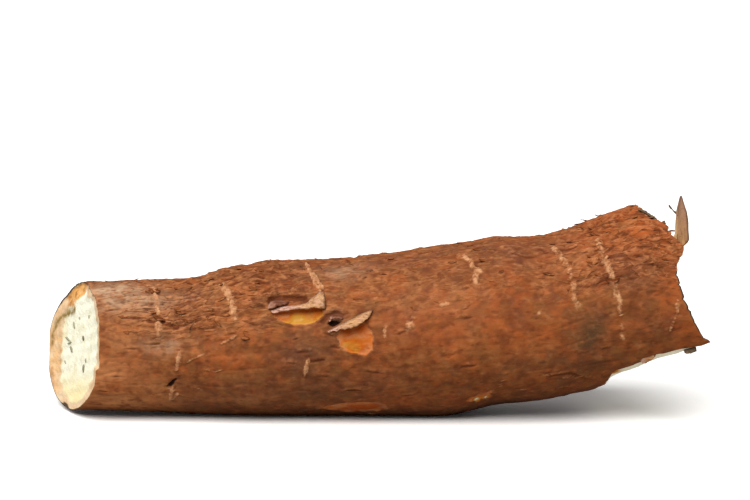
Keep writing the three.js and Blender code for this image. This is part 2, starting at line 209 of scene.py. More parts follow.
@dataclass(frozen=True)
class RootForm:
    """The grown shape under the bark, as the solid has it, in millimetres before the frame's shift.

    Each station is x, the bottom's z, the top's z and the half width.
    """

    stations: tuple[tuple[float, float, float, float], ...] = (
        (-148, 2, 56.6, 27), (-128, 1.5, 57.2, 28.2), (-108, 1.2, 57.6, 29.2), (-88, 0.7, 57.8, 30.4),
        (-68, -0.2, 62.2, 32.2), (-50, -0.7, 65.6, 33.8), (-20, -0.7, 67.2, 34.6), (10, -0.7, 70.2, 35.6),
        (32, -0.6, 74.6, 36.6), (53, 4.2, 78.2, 37.4), (72, 6.2, 78.6, 37.4), (88, 9.4, 83.2, 37.2),
        (101, 12.4, 89.2, 37), (113, 15, 91.2, 36.6), (128, 18, 88, 35.6), (146, 22, 84, 33),
    )
    shift_x: float = 1.3
    shift_y: float = -0.4
    cut_x: float = -130.6
    cut_slant_y: float = -0.507
    cut_slant_z: float = 0.14

    def column(self, x: Array, k: int) -> Array:
        """One column of the stations at x, by a smooth curve through them.

        Args:
            x: Millimetres along the root.
            k: The column.

        Returns:
            Its value at each place.
        """
        rows = np.array(self.stations)
        xs, v = rows[:, 0], rows[:, k]
        n = len(xs)
        before, after = np.maximum(np.arange(n) - 1, 0), np.minimum(np.arange(n) + 1, n - 1)
        slope = (v[after] - v[before]) / (xs[after] - xs[before])
        i = np.clip(np.searchsorted(xs, x, "right") - 1, 0, n - 2)
        span = xs[i + 1] - xs[i]
        t = np.clip((x - xs[i]) / span, 0, 1)
        return (
            (2 * t**3 - 3 * t**2 + 1) * v[i]
            + (t**3 - 2 * t**2 + t) * span * slope[i]
            + (3 * t**2 - 2 * t**3) * v[i + 1]
            + (t**3 - t**2) * span * slope[i + 1]
        )

    def axis(self) -> Array:
        """The middle of the section at the knife cut."""
        return np.array([self.cut_x, 0.0, float(self.column(np.array([self.cut_x]), 2)[0]) / 2])

    def swelling(self, x: Array, a: Array) -> Array:
        """The root's uneven roundness at x and angle a, as a share of its radius.

        Args:
            x: Millimetres along the root.
            a: Angles round the root.

        Returns:
            That share at each place.
        """
        return smooth(-1, -0.55, np.sin(a)) * (
            0.012 * np.sin(2 * a + 0.021 * x + 0.6)
            + 0.011 * np.sin(3 * a - 0.034 * x + 1.9)
            + 0.007 * np.sin(5 * a + 0.062 * x)
            + 0.008 * np.sin(0.11 * x + 2.2 * np.cos(a))
        )

    def skin(self, x: Array, a: Array, lift: Number = 0.0) -> Array:
        """A point of the skin.

        Args:
            x: Millimetres along the root.
            a: Angle round the root in radians: 0 is the front and a quarter turn the top.
            lift: How far the point stands off the skin, in millimetres.

        Returns:
            The points, one row of x, y and z each.
        """
        x, a = np.broadcast_arrays(np.asarray(x, float), np.asarray(a, float))
        bottom, top, wide = (self.column(x, k) for k in (1, 2, 3))
        high = (top - bottom) / 2
        grown = 1 + self.swelling(x, a)
        out_y, out_z = -np.cos(a) / wide, np.sin(a) / high
        length = np.hypot(out_y, out_z)
        y = -wide * grown * np.cos(a) + lift * out_y / length
        z = (top + bottom) / 2 + high * grown * np.sin(a) + lift * out_z / length
        return np.stack([x, y, z], axis=-1)

    def cut_at(self, y: Array, z: Array) -> Array:
        """x of the knife cut at a point of the section."""
        return self.cut_x + self.cut_slant_y * y + self.cut_slant_z * (z - self.axis()[2])

    def placed(self, points: Array) -> Array:
        """Points in the frame that every piece shares, in metres."""
        return (points + np.array([self.shift_x, self.shift_y, 0.0])) * MM


FORM = RootForm()


def distance_to_path(x: Array, s: Array, path: Sequence[Point2], closed: bool = False) -> Array:
    """How far each place of the bark's chart is from a line drawn on it.

    Args:
        x: Millimetres along the root.
        s: Millimetres round the root.
        path: The line's corners, as x and s.
        closed: Whether the line runs back to its first corner.

    Returns:
        The distance in millimetres, and below 0 inside a closed line.
    """
    corners = [*path, path[0]] if closed else list(path)
    best, inside = np.full(x.shape, 1e9), np.zeros(x.shape, bool)
    for (x0, s0), (x1, s1) in zip(corners, corners[1:]):
        dx, ds = x1 - x0, s1 - s0
        t = np.clip(((x - x0) * dx + (s - s0) * ds) / (dx * dx + ds * ds), 0, 1)
        best = np.minimum(best, np.hypot(x - x0 - t * dx, s - s0 - t * ds))
        if closed:
            inside ^= ((s0 > s) != (s1 > s)) & (x < x0 + (s - s0) / (ds if ds else 1e-9) * dx)
    return np.where(inside, -best, best)


def laid_out(a: Array, line: Line) -> tuple[Array, list[Point2]]:
    """Puts a line of x and degrees on the bark's chart.

    Args:
        a: Angles round the root, in radians.
        line: The line's corners.

    Returns:
        Millimetres round the root for each angle, without a jump near the line, and the line's corners with theirs.
    """
    about = float(np.mean([d for _, d in line]))
    near = np.mod(np.degrees(a) - about + 180.0, 360.0) - 180.0 + about
    return np.radians(near) * GIRTH_RADIUS, [(x, math.radians(d) * GIRTH_RADIUS) for x, d in line]


def off_ends(x: Array, s: Array, path: Sequence[Point2]) -> Array:
    """How far each place is from the nearer end of a path, in millimetres."""
    return np.minimum(*(np.hypot(x - px, s - ps) for px, ps in (path[0], path[-1])))


def looked_up(table: Sequence[Point2], degrees: Array) -> Array:
    """A value for each angle from a table of angles in degrees and values."""
    return np.interp(degrees, *np.array(table).T)


class Exposed(Enum):
    """What shows where the bark is torn away, as a place on the row of colours from bare flesh to a hollow painted
    near-black as shade.
    """

    FLESH = 0.0
    YELLOW = 0.25
    ORANGE = 0.45
    PEACH = 0.6
    RED = 0.8
    HOLLOW = 1.0


@dataclass(frozen=True)
class Scar:
    """A pale ring scar, or a scratch: a line of x and degrees, its width and height in millimetres."""

    line: Line
    width: float = 2.2
    height: float = 0.9


@dataclass(frozen=True)
class TornWindow:
    """A place where the bark is torn away: its outline in x and degrees, and its depth in millimetres.

    Each of its spots has x, degrees, a radius in millimetres and what shows there instead.
    """

    outline: Line
    depth: float
    shows: Exposed
    spots: tuple[tuple[float, float, float, Exposed], ...] = ()


@dataclass(frozen=True)
class BarkRelief:
    """Everything that stands on or is cut into the skin: plates, peeling scales, fissures, scars and windows."""

    plate_length: float = 15.0
    plates_around: int = 30
    plate_height: float = 1.15
    plate_crack: float = 0.22
    scale_length: float = 7.0
    scales_around: int = 60
    scale_height: float = 0.6
    chip_length: float = 3.4
    chips_around: int = 112
    chip_height: float = 0.22
    layer_height: float = 0.5
    layer_levels: float = 3.2
    fissure_depth: float = 0.55
    hairline_depth: float = 0.16
    hollow_depth: float = 0.7
    crack_width: float = 0.52
    crack_depth: float = 0.5
    grain: Grain = Grain(101)
    cracks: tuple[Line, ...] = (
        ((104, 55.5), (107, 53), (109, 54)), ((111, 40), (116, 40), (120, 40.5)), ((98, 38), (102, 36), (107, 34.5)),
        ((118, 53.5), (121, 55)), ((113, 28), (116.5, 31.5)), ((97, 67), (101, 64)),
        ((-65.5, 65), (-61, 67), (-57, 69)), ((-61, 49), (-56, 47)), ((-48, 45), (-46, 48.5), (-43.5, 51)),
        ((-52, 49), (-49, 49)), ((-51.5, 59), (-49, 57.5)), ((-59, 81), (-57, 79.5)), ((-45.5, 68), (-38, 67)),
        ((-82.5, 55), (-74, 52)), ((32, 20), (34, 19)), ((35.5, 16), (40, 15)), ((38, 21.5), (40.5, 24)),
        ((9, 10), (12, 12)), ((37, 35), (39.5, 35)), ((58.5, 60.5), (61.5, 58), (64.5, 56.5), (67, 57.5), (70, 60.5)),
        ((70, 67), (72.5, 62), (74, 61.5)), ((78, 61.5), (82, 58.5), (85, 59)), ((82.5, 45), (84.5, 42), (87, 40)),
        ((92, 36), (94, 38), (95, 38)), ((93, 22), (94.5, 23), (96, 23)), ((86.5, 25), (90, 23)),
        ((55, 31.5), (58, 31)), ((55, 68), (59, 70)), ((56, 55), (60, 55)), ((66, 30), (69, 29.5)),
        ((41, 56), (49, 54)), ((66.5, 9), (68, 9.5)), ((29.5, -5), (31, -8), (33, -6)),
        ((35.5, -17), (37, -16), (42, -17)), ((74.5, -34), (83, -36), (92, -48)), ((77, -50.5), (83, -53.5)),
        ((96.5, -22.5), (99, -23)), ((-33, 0), (-27.5, 1)), ((-28, -7), (-21.5, -5)), ((-24, -18.5), (-20, -18.5)),
        ((-3.5, -14.5), (3, -17.5)), ((-12, -31), (-6, -31)), ((-18, 4), (-15, 3)), ((-37, -7.5), (-34, -8)),
        ((-34, 10), (-32.5, 11)), ((-21, 13.5), (-18, 12)), ((-26, -50), (-23.5, -51.5)), ((13, -38.5), (16, -38)),
        ((-107, 36), (-100, 37)), ((-114, 43.5), (-109, 45)), ((-85.5, 42), (-81, 41.5)), ((-79, 42), (-76.5, 40.5)),
        ((-72, 37.5), (-67, 36)), ((-96, 39), (-94.5, 40), (-92, 37)), ((-87.5, 32), (-83.5, 26)),
        ((-63.5, 16), (-59, 17)), ((-52, 22), (-50, 22)), ((-105, 9), (-101, 9)), ((-95, 13), (-91.5, 14)),
        ((-111.5, -17), (-108.5, -17)), ((-117.5, -32), (-115, -32.5)), ((-84, -37), (-82, -38)),
    )
    deep_cracks: tuple[Line, ...] = (
        ((-45, 39), (-44, 41), (-39.5, 42), (-35, 41), (-30, 40)), ((-22, 22), (-20.5, 26), (-17, 28), (-13.5, 26)),
    )
    scars: tuple[Scar, ...] = (
        Scar(((36, 68), (38.4, 62), (40.5, 58), (41.8, 47), (42.8, 34)), 1.6),
        Scar(((42.4, 52), (44.2, 47), (45, 41)), 0.9, 0.4),
        Scar(((76, 65), (79.2, 51), (81.8, 42), (83, 30), (84, 18), (85.5, 10)), 1.5),
        Scar(((94.4, 57), (96, 42), (98, 32), (100.2, 20), (102, 9), (103.2, -1)), 1.6),
        Scar(((103.4, -2), (104.2, -12), (104.5, -22)), 1.1, 0.5),
        Scar(((-29.6, 80), (-27.5, 67), (-25.2, 53), (-22.6, 44)), 1.5, 1),
        Scar(((-26.4, 67), (-24, 56), (-22.2, 49)), 1.2, 0.9),
        Scar(((-64.8, 62), (-61.8, 47), (-60.2, 36), (-59.5, 25)), 2.1, 1),
        Scar(((-66.6, 60), (-63.6, 52)), 1.3, 0.8), Scar(((-95.5, 72), (-93, 52), (-92.2, 40)), 1.6),
        Scar(((-92.2, 36), (-91.9, 29), (-91.5, 21)), 2.3), Scar(((-82.8, 6), (-83.4, -2), (-84.2, -10)), 1.8),
        Scar(((-86, -23), (-87, -34), (-87.5, -43)), 1.7), Scar(((-86.4, -26), (-84.6, -34), (-84.2, -41)), 0.8, 0.5),
        Scar(((-28.2, -4), (-29, -10), (-29.9, -18)), 1.6), Scar(((-65.6, 9), (-62, 12), (-58.6, 15)), 1.1, 0.6),
        Scar(((4.2, 17), (4, 9)), 1.1, 0.5), Scar(((127.4, 5), (127, -4)), 1.6, 0.7),
        Scar(((126.4, -6), (124.2, -17)), 0.9, 0.4), Scar(((-81, -4.5), (-76.5, 0), (-72, 3)), 0.7, 0.3),
        Scar(((-73, -9.5), (-68, -12.5), (-65, -11)), 0.8, 0.3), Scar(((-77.5, -25.5), (-74.5, -30)), 0.8, 0.3),
        Scar(((70, 16.5), (68, 12)), 1, 0.4), Scar(((13.7, 16), (14.1, 16)), 7, 0.6),
        Scar(((-95, -75), (-88, -76)), 1.5, 0.4), Scar(((-86, -76), (-78, -75)), 1.5, 0.4),
        Scar(((15.8, 20.4), (16.6, 20.4)), 3.2, 0.5), Scar(((28, 27.6), (29.6, 27)), 4.4, 0.4),
        Scar(((-1.5, 42), (0.5, 41.8)), 1.2, 0.3), Scar(((79, -38), (83, -39)), 1.4, 0.5),
        Scar(((71, -31.5), (76, -33), (80, -32)), 0.9, 0.2), Scar(((84, -42), (90, -41)), 0.9, 0.2),
        Scar(((60, -45), (66, -46)), 0.8, 0.3), Scar(((-3, -64), (0, -64.5)), 1.3, 0.5),
        Scar(((55, -26.5), (54, -33.5), (52, -41.5)), 0.9, 0.5), Scar(((1, -56.5), (1, -59)), 1.6, 0.4),
        Scar(((-111.5, 120), (-110, 144), (-108.5, 168)), 2.1), Scar(((-70.3, 150), (-72.5, 180), (-73.8, 215)), 1.9),
        Scar(((-21.5, 112), (-20, 132), (-18.5, 150)), 2), Scar(((-4, 170), (-2, 200), (0, 232)), 2.1),
        Scar(((32, 128), (30.4, 155), (28, 182)), 1.9), Scar(((59.8, 146), (62, 175), (64.2, 204)), 2.1),
        Scar(((82.3, 110), (84, 130), (85.7, 150)), 1.8),
    )
    windows: tuple[TornWindow, ...] = (
        TornWindow(((-43.4, 30.5), (-42.4, 26.5), (-38.8, 23.4), (-35.5, 21.4), (-29.5, 20.6), (-25.2, 22.4),
            (-21.6, 27), (-22, 33.5), (-28, 34), (-36, 33)), 1.5, Exposed.YELLOW, ((-42.5, 26.5, 2.2, Exposed.PEACH),
            (-38.5, 31.5, 3.2, Exposed.RED), (-24, 31, 3, Exposed.ORANGE), (-30, 31.5, 2.4, Exposed.ORANGE))),
        TornWindow(((-14.8, 17.5), (-15.8, 11), (-15, 4.5), (-13, 1), (-10, -0.6), (-7, -1.6), (-3.8, -2.4),
            (-1.2, 1), (-0.6, 11), (-3.2, 19), (-6.2, 21), (-11, 19)), 1.3, Exposed.ORANGE,
            ((-12, 15.5, 3.6, Exposed.RED), (-6, 16, 3.6, Exposed.RED), (-12.5, 5, 1.8, Exposed.YELLOW),
            (-8, 2, 1.8, Exposed.YELLOW), (-2.6, 3, 2, Exposed.PEACH))),
        TornWindow(((-19.6, 20.5), (-18.2, 23.2), (-16.2, 23.4), (-14.2, 21.8), (-15.6, 20), (-17.6, 18)), 1.9,
            Exposed.HOLLOW),
        TornWindow(((-89, -28.4), (-87.8, -23.6), (-86, -19.4), (-84, -16.8), (-84.6, -20.8), (-86.2, -25.2)), 1.2,
            Exposed.HOLLOW),
        TornWindow(((38.5, -50.5), (41, -46.5), (43, -48.2), (44.8, -44), (46.6, -46.5), (50.8, -42.5), (49, -47.5),
            (50.5, -52), (46.5, -51.5), (44, -55), (42, -52)), 0.7, Exposed.RED, ((43.4, -52, 1.9, Exposed.FLESH),
            (47.4, -51.5, 1.4, Exposed.FLESH), (48.6, -45.4, 1.6, Exposed.ORANGE))),
        TornWindow(((-25, -53.5), (-19, -49), (-12, -45.5), (-6, -44), (0, -45), (4, -48.5), (5.5, -53), (0, -58),
            (-10, -60), (-19, -58)), 0.45, Exposed.RED, ((-8, -45.5, 2.6, Exposed.PEACH),
            (-3, -45.5, 2.4, Exposed.PEACH), (-15, -49, 3, Exposed.ORANGE), (-19, -53, 3, Exposed.ORANGE))),
        TornWindow(((144, -32), (140.7, -33.4), (137.7, -33.6), (133.5, -33.9), (129.1, -34.2), (124.9, -35.3),
            (120.7, -35.4), (116.5, -36), (114.4, -38.6), (112.5, -40.8), (108.7, -42.2), (105, -43.1),
            (102.4, -44.4), (100.9, -46.5), (100.3, -52.5), (99, -58), (110, -62), (146, -56), (148, -34)), 0.9,
            Exposed.FLESH, ((101.4, -46, 2, Exposed.PEACH), (113.4, -38.8, 1.6, Exposed.YELLOW))),
        TornWindow(((8, 205), (11, 211), (18, 213), (25, 210), (28, 205), (25, 200), (18, 197.5), (11, 200)), 1.3,
            Exposed.ORANGE),
    )

    def slant(self, x: Array, a: Array) -> Array:
        """Turns round the root that follow the slant of the bark's fibres.

        Args:
            x: Millimetres along the root.
            a: Angles round the root.

        Returns:
            Turns, the same all along a fibre.
        """
        left = 0.0014 * np.clip(x + 25, -62, 0) * smooth(0.35, 1.0, np.sin(a))
        right = -0.0012 * np.clip(x - 60, 0, 60) * smooth(0.2, 0.95, np.sin(a))
        return a / TURN - left - right

    def roughness(self, x: Array, a: Array) -> Array:
        """How rough the bark is, from 0 on the underside to 1 on the flaking upper side.

        Args:
            x: Millimetres along the root.
            a: Angles round the root.

        Returns:
            The roughness of each place.
        """
        high = smooth(-0.2, 0.75, np.sin(a))
        ends = np.maximum(smooth(70, 105, x), smooth(-20, -60, x) * smooth(-112, -92, x))
        return smooth(-1, -0.72, np.sin(a)) * mix(0.35, mix(0.7, 1.0, ends), high)

    def at(self, x: Array, a: Array) -> Masks:
        """The bark at each place.

        Args:
            x: Millimetres along the root.
            a: Angle round the root, in radians.

        Returns:
            The height over the skin in millimetres, and the masks that the finish reads.
        """
        waves, cloud, scales = self.grain.waves, self.grain.cloud, self.grain.scales
        turn = self.slant(x, a)
        along = x + 2.2 * waves(x, turn, 24, 14, 3)
        turn = turn + 1.4 * waves(x, turn, 22, 12, 5) / GIRTH
        rough = self.roughness(x, a)
        flaky = smooth(0.45, 1.0, rough)
        upward = np.sin(a)
        free = smooth(-1, -0.9, upward)

        def calm(least: float, most: float = 1.0) -> Array:
            """A share that is least on calm bark and most on flaking bark."""
            return mix(least, most, flaky)

        # The plates are the solid's own, so they keep its salt and its unbent chart.
        plate_edge, plate_kind, _, _ = Grain(0).scales(x, a / TURN, self.plate_length, self.plates_around)
        plate = plate_kind * smooth(0, self.plate_crack, plate_edge) - 0.5
        plate_gap = 1 - smooth(0, self.plate_crack * 0.7, plate_edge)
        edge, kind, other, across = scales(along, turn, self.scale_length, self.scales_around, 20)
        scale_gap = 1 - smooth(0.0, 0.13, edge)
        scale = (kind - 0.5) * 0.7 + across * np.where(other > 0.4, 1.0, -0.8)
        edge, kind, other, across = scales(along + 1.3, turn, self.chip_length, self.chips_around, 40)
        chip_gap = 1 - smooth(0.0, 0.16, edge)
        chip = (kind - 0.5) + 0.6 * across * np.where(other > 0.5, 1.0, -1.0)

        level = 0.5 + 0.95 * cloud(along, turn, 26, 13, 4, 60) + 0.2 * np.sin(turn * TURN * 7 + 0.07 * x)
        share = np.mod(self.layer_levels * level, 1.0)
        layer = smooth(0.0, 0.8, share) * (1 - smooth(0.88, 1.0, share))
        layer_foot = smooth(0.16, 0.0, share) * smooth(0.0, 0.03, share)
        layer_edge = smooth(0.6, 0.85, share) * (1 - smooth(0.9, 0.98, share))
        ridge = 1 - np.abs(cloud(along, turn, 12, 4.2, 2, 80))
        fissure = smooth(0.89, 0.97, ridge) * smooth(0.05, 0.4, waves(x, turn, 13, 10, 90))
        hair = 1 - np.abs(cloud(along, turn, 7, 2.2, 2, 95))
        hairline = smooth(0.88, 0.98, hair) * smooth(0.05, 0.45, waves(x, turn, 8, 6, 97))

        height = self.scale_height * calm(0.05) * (0.55 * scale - 0.45 * scale_gap)
        height += self.chip_height * calm(0.1) * (chip - 0.5 * chip_gap)
        height += self.layer_height * calm(0.08) * (layer - 0.5)
        height -= self.fissure_depth * calm(0.2) * fissure + self.hairline_depth * calm(0.2) * hairline
        height += 0.4 * cloud(x, turn, 30, 15, 3, 110) + 0.3 * cloud(x, turn, 8.0, 7.0, 2, 120)
        height = height * free + self.plate_height * rough * calm(0.7) * plate
        height += 0.4 * cloud(x, turn, 6.0, 6.0, 2, 130) * smooth(40, 62, x) * smooth(-0.35, -0.75, upward)
        height -= self.hollow_depth * hump(48, 62, 106, 118, x) * smooth(0.5, 0.9, upward)
        # Painted shade: cracks, scale and chip gaps, fissures and the feet of layer edges get a darkening mask.
        crevice = (
            0.3 * plate_gap * rough * calm(0.35)
            + (0.25 * scale_gap + 0.12 * chip_gap) * flaky
            + 0.4 * layer_foot * calm(0.1)
            + fissure * calm(0.1, 0.7)
            + hairline * calm(0.02, 0.3)
        )
        # Painted highlight: the tops of layer edges and the raised sides of scales get a paling mask.
        raised = 0.8 * layer_edge * calm(0.12) + 0.5 * smooth(0.25, 0.75, scale) * flaky
        masks = {"height": height, "crevice": np.clip(crevice, 0, 1), "lifted": np.clip(raised, 0, 1), "flaky": flaky}
        for work in (self._cut_cracks, self._add_scars, self._open_windows):
            work(masks, x, a)
        return masks

    def _cut_cracks(self, masks: Masks, x: Array, a: Array) -> None:
        """Cuts the single cracks of the bark.

        Args:
            masks: The bark's height and masks, which are changed.
            x: Millimetres along the root.
            a: Angle round the root, in radians.
        """
        for lines, width, depth, share, bends in (
            (self.cracks, self.crack_width, self.crack_depth, 0.9, 0.5),
            (self.deep_cracks, self.crack_width * 1.9, self.crack_depth * 2.6, 1.5, 0.2),
        ):
            for n, line in enumerate(lines):
                s, path = laid_out(a, line)
                d = distance_to_path(x, s + bends * self.grain.cloud(x, s / GIRTH, 3.5, 9, 2, 400 + n), path)
                patchy = mix(1 - bends, 1.0, smooth(-0.5, 0.4, self.grain.waves(x, s / GIRTH, 3, 3, 430 + n)))
                half = width * mix(0.5, 1.0, smooth(0, 2.2, off_ends(x, s, path))) * mix(0.8, 1.2, patchy)
                groove = np.exp(-((d / half) ** 2)) * patchy
                above = smooth(0.1, 0.6, s - np.interp(x, *zip(*sorted((path[0], path[-1])))))
                lip = np.exp(-(((d - 2.2 * half) / half) ** 2)) * above
                # Painted shade along each groove and a painted highlight on its upper lip.
                masks["height"] += depth * (0.4 * lip - groove)
                masks["crevice"] = np.clip(masks["crevice"] + share * groove, 0, 1)
                masks["lifted"] = np.clip(masks["lifted"] + 0.4 * lip, 0, 1)

    def _add_scars(self, masks: Masks, x: Array, a: Array) -> None:
        """Raises the ring scars.

        Args:
            masks: The bark's height and masks, which are changed; "scar" is added.
            x: Millimetres along the root.
            a: Angle round the root, in radians.
        """
        masks["scar"] = np.zeros(x.shape)
        for n, scar in enumerate(self.scars):
            s, path = laid_out(a, scar.line)
            ragged = 0.26 * self.grain.cloud(0.0, s / GIRTH, 5, 7, 3, 200 + n) * scar.width
            d = distance_to_path(x + ragged, s, path)
            patchy = 0.95 + 0.32 * self.grain.cloud(x * 0.3, s / GIRTH, 6, 9, 2, 240 + n)
            tapered = mix(0.45, 1.0, smooth(0, 1.6 * scar.width, off_ends(x, s, path)))
            half = scar.width * 0.5 * np.clip(patchy, 0.4, 1.35) * tapered
            crest = np.clip(1 - (d / half) ** 2, 0, 1)
            flattened = np.maximum(masks["height"] * (1 - 0.6 * crest), -0.15)
            masks["height"] = np.where(crest > 0, flattened + scar.height * crest * patchy, masks["height"])
            strength = min(1.0, scar.height / 0.8 + 0.3)
            masks["scar"] = np.maximum(masks["scar"], np.clip(1 - d / (half * 2), 0, 1) * strength)
            # The groove beside each scar also gets painted shade.
            beside = smooth(-0.1, 0.5, self.grain.waves(x, s / GIRTH, 4, 5, 280 + n))
            rim = np.exp(-(((d - half - 0.4) / 0.45) ** 2)) * beside
            masks["height"] -= 0.3 * rim
            masks["crevice"] = np.clip(masks["crevice"] * (1 - crest) + 0.45 * rim, 0, 1)

    def _open_windows(self, masks: Masks, x: Array, a: Array) -> None:
        """Takes the bark off where it is torn away.

        Args:
            masks: The bark's height and masks, which are changed; "window", "exposed" and "shaded" are added.
            x: Millimetres along the root.
            a: Angle round the root, in radians.
        """
        masks |= {"window": np.full(x.shape, -WINDOW_REACH), "exposed": np.zeros(x.shape), "shaded": np.zeros(x.shape)}
        for n, torn in enumerate(self.windows):
            s, path = laid_out(a, torn.outline)
            ragged = 0.6 * self.grain.cloud(x, s / GIRTH, 4.4, 3.0, 4, 300 + 9 * n)
            inside = (ragged - distance_to_path(x, s, path, closed=True)) * min(1.0, torn.depth / 0.9)
            open_share = smooth(-0.35, 0.45, inside)
            floor = -torn.depth + 0.35 * self.grain.cloud(x, s / GIRTH, 6, 2.4, 3, 340 + n) * min(torn.depth, 1)
            masks["height"] = mix(masks["height"], floor, open_share)
            shown: Number = torn.shows.value
            for px, d, radius, other in torn.spots:
                off = np.hypot(x - px, s - math.radians(d) * GIRTH_RADIUS) / radius
                shown = mix(shown, other.value, np.exp(-(off**2)))
            low, high = min(p[1] for p in path), max(p[1] for p in path)
            under_lip = smooth(0.5, 1.0, (s - low) / (high - low)) * smooth(0.5, 0.9, torn.depth)
            near = inside > masks["window"]
            for name, value in (("exposed", shown), ("shaded", under_lip), ("window", inside)):
                masks[name] = np.where(near, value, masks[name])
            for name in ("crevice", "lifted", "scar", "flaky"):
                masks[name] = masks[name] * (1 - open_share)
        masks["window"] = np.clip(masks["window"], -WINDOW_REACH, WINDOW_REACH)


RELIEF = BarkRelief()


@dataclass(frozen=True)
class BarkStainsAndShade:
    """Where the bark's colour departs from its usual brown, with painted shade among the stains.

    Each spot has x and degrees, half its length in millimetres, half its height in degrees, and its strength.
    """

    smudge: Rows = (
        (91, -8, 8, 18, 1), (92, -32, 11, 11, 0.7), (110, 12, 9, 14, 0.45), (116, -12, 8, 10, 0.35),
        (70, -22, 14, 7, 0.4), (56, -30, 8, 7, 0.3), (-84, -18, 5, 7, 0.5), (-30, -12, 14, 10, 0.3),
        (-96, 16, 7, 9, 0.4), (-24, -34, 14, 9, 0.45), (36, 48, 9, 8, 0.3), (20, 170, 20, 20, 0.6),
        (-60, 140, 18, 12, 0.5), (-26, 3, 9, 10, 0.5), (118, 26, 9, 11, 0.55), (-62, -52, 12, 9, 0.4),
    )
    film: Rows = (
        (-114, 68, 16, 14, 1), (-104, 54, 20, 12, 0.8), (-90, 12, 9, 8, 0.45), (-16.5, 25.5, 3, 3.5, 0.9),
        (-14, 66, 10, 10, 0.4), (-50, 190, 26, 18, 0.6),
    )
    # The spots at x 12 and 60 high on the top are painted shadow, as if cast from above and behind; the others are dull
    # purple-brown patches of the bark.
    dusky: Rows = (
        (-31, -4, 14, 16, 1), (-26, -32, 18, 12, 0.7), (-4, -22, 22, 12, 0.5), (-54, -26, 20, 10, 0.6),
        (104, 26, 12, 16, 0.7), (-34, 60, 16, 10, 0.35), (12, 74, 34, 12, 0.9), (-80, 28, 10, 12, 0.4),
        (120, -16, 8, 12, 0.5), (40, 215, 30, 20, 0.7), (10, -70, 60, 16, 1), (-76, -50, 10, 9, 0.7),
        (60, 62, 24, 18, 1), (22, 26, 34, 26, 0.4), (74, 72, 14, 9, 0.6),
    )
    warm: Rows = (
        (118, 52, 20, 30, 1), (128, 18, 9, 22, 0.9), (104, 68, 20, 22, 0.9), (-118, -54, 12, 9, 0.8),
        (130, -22, 8, 12, 0.8), (-112, -16, 16, 20, 0.7), (-60, -6, 14, 8, 0.7), (26, 16, 28, 22, 0.6),
        (10, -48, 30, 10, 0.8), (88, 62, 22, 18, 0.55), (60, 0, 16, 14, 0.4), (90, 200, 24, 24, 0.6),
    )
    # Painted shade: darker towards the underside, where the root meets the floor.
    underside_shade: Rows = (
        (-110, -84, 50, 16, 1), (20, -80, 110, 26, 1), (20, -62, 26, 9, 0.5), (-20, -150, 200, 40, 0.4),
    )
    tanned: Rows = (
        (-92, -44, 16, 12, 0.6), (-96, 40, 30, 14, 0.35), (-56, -42, 20, 11, 0.5), (-116, -14, 16, 17, 1),
        (-110, -46, 20, 15, 1), (-96, -30, 10, 12, 0.7), (-108, 14, 12, 12, 0.6), (-64, 22, 10, 8, 0.3),
        (20, 30, 20, 10, 0.3), (86, 44, 12, 9, 0.3), (24, 190, 20, 14, 0.4),
    )

    def at(self, x: Array, a: Array) -> Masks:
        """How strongly each kind of stain or painted shade shows, from 0 to 1.

        Args:
            x: Millimetres along the root.
            a: Angle round the root, in radians.

        Returns:
            Each kind's strength at each place.
        """
        masks = {}
        for kind, spots in vars(self).items():
            total = np.zeros(x.shape)
            for middle, degrees, half_length, half_height, strength in spots:
                off = np.mod(np.degrees(a) - degrees + 180, 360) - 180
                reach = ((x - middle) / half_length) ** 2 + (off / half_height) ** 2
                total = np.maximum(total, strength * np.exp(-reach))
            masks[kind] = np.clip(total, 0, 1)
        return masks


STAINS_AND_SHADE = BarkStainsAndShade()


def linked(name: str, data: bpy.types.ID) -> Piece:
    """A new object with that data, in the scene.

    Args:
        name: Its name.
        data: A mesh, camera or lamp.

    Returns:
        The object.
    """
    made = bpy.data.objects.new(name, data)
    bpy.context.scene.collection.objects.link(made)
    return made


def write_mask(piece: Piece, name: str, values: Array) -> None:
    """Keeps one number a corner on the piece's mesh, for its finish or its flakes to read."""
    attribute = piece.data.attributes.new(name, "FLOAT", "POINT")
    attribute.data.foreach_set("value", np.asarray(values, np.float32).ravel())


def piece_from(name: str, points: Array, faces: Faces) -> Piece:
    """A mesh object at the origin with smooth faces.

    Args:
        name: The piece's name.
        points: Its corners in metres, one row each.
        faces: The corners of each face, in order.

    Returns:
        The object, in the scene.
    """
    mesh = bpy.data.meshes.new(name)
    mesh.from_pydata(np.asarray(points, float).tolist(), [], [list(map(int, f)) for f in faces])
    mesh.validate()
    mesh.polygons.foreach_set("use_smooth", np.ones(len(mesh.polygons), bool))
    mesh.update()
    return linked(name, mesh)


def closed_piece(name: str, points: Array, faces: Faces, **masks: Array) -> Piece:
    """A mesh object with every face turned outwards.

    Args:
        name: The piece's name.
        points: Its corners in metres, one row each.
        faces: The corners of each face, in order.
        **masks: What its finish reads, one number a corner.

    Returns:
        The object, in the scene.
    """
    piece = piece_from(name, points, faces)
    work = bmesh.new()
    work.from_mesh(piece.data)
    bmesh.ops.recalc_face_normals(work, faces=work.faces)
    work.to_mesh(piece.data)
    work.free()
    for mask, values in masks.items():
        write_mask(piece, mask, values)
    return piece


def quads(ids: Array, beside: Array) -> Faces:
    """Faces between rows of corners and the rows of their neighbours."""
    return np.stack([ids[:-1], ids[1:], beside[1:], beside[:-1]], axis=-1).reshape(-1, 4).tolist()


def tube_faces(rings: int, sides: int, first: int = 0) -> Faces:
    """Faces of a closed tube of rings of corners that follow each other, from the corner first on."""
    ids = first + np.arange(rings * sides).reshape(rings, sides)
    return [*quads(ids, np.roll(ids, -1, axis=1)), ids[0].tolist(), ids[-1].tolist()]


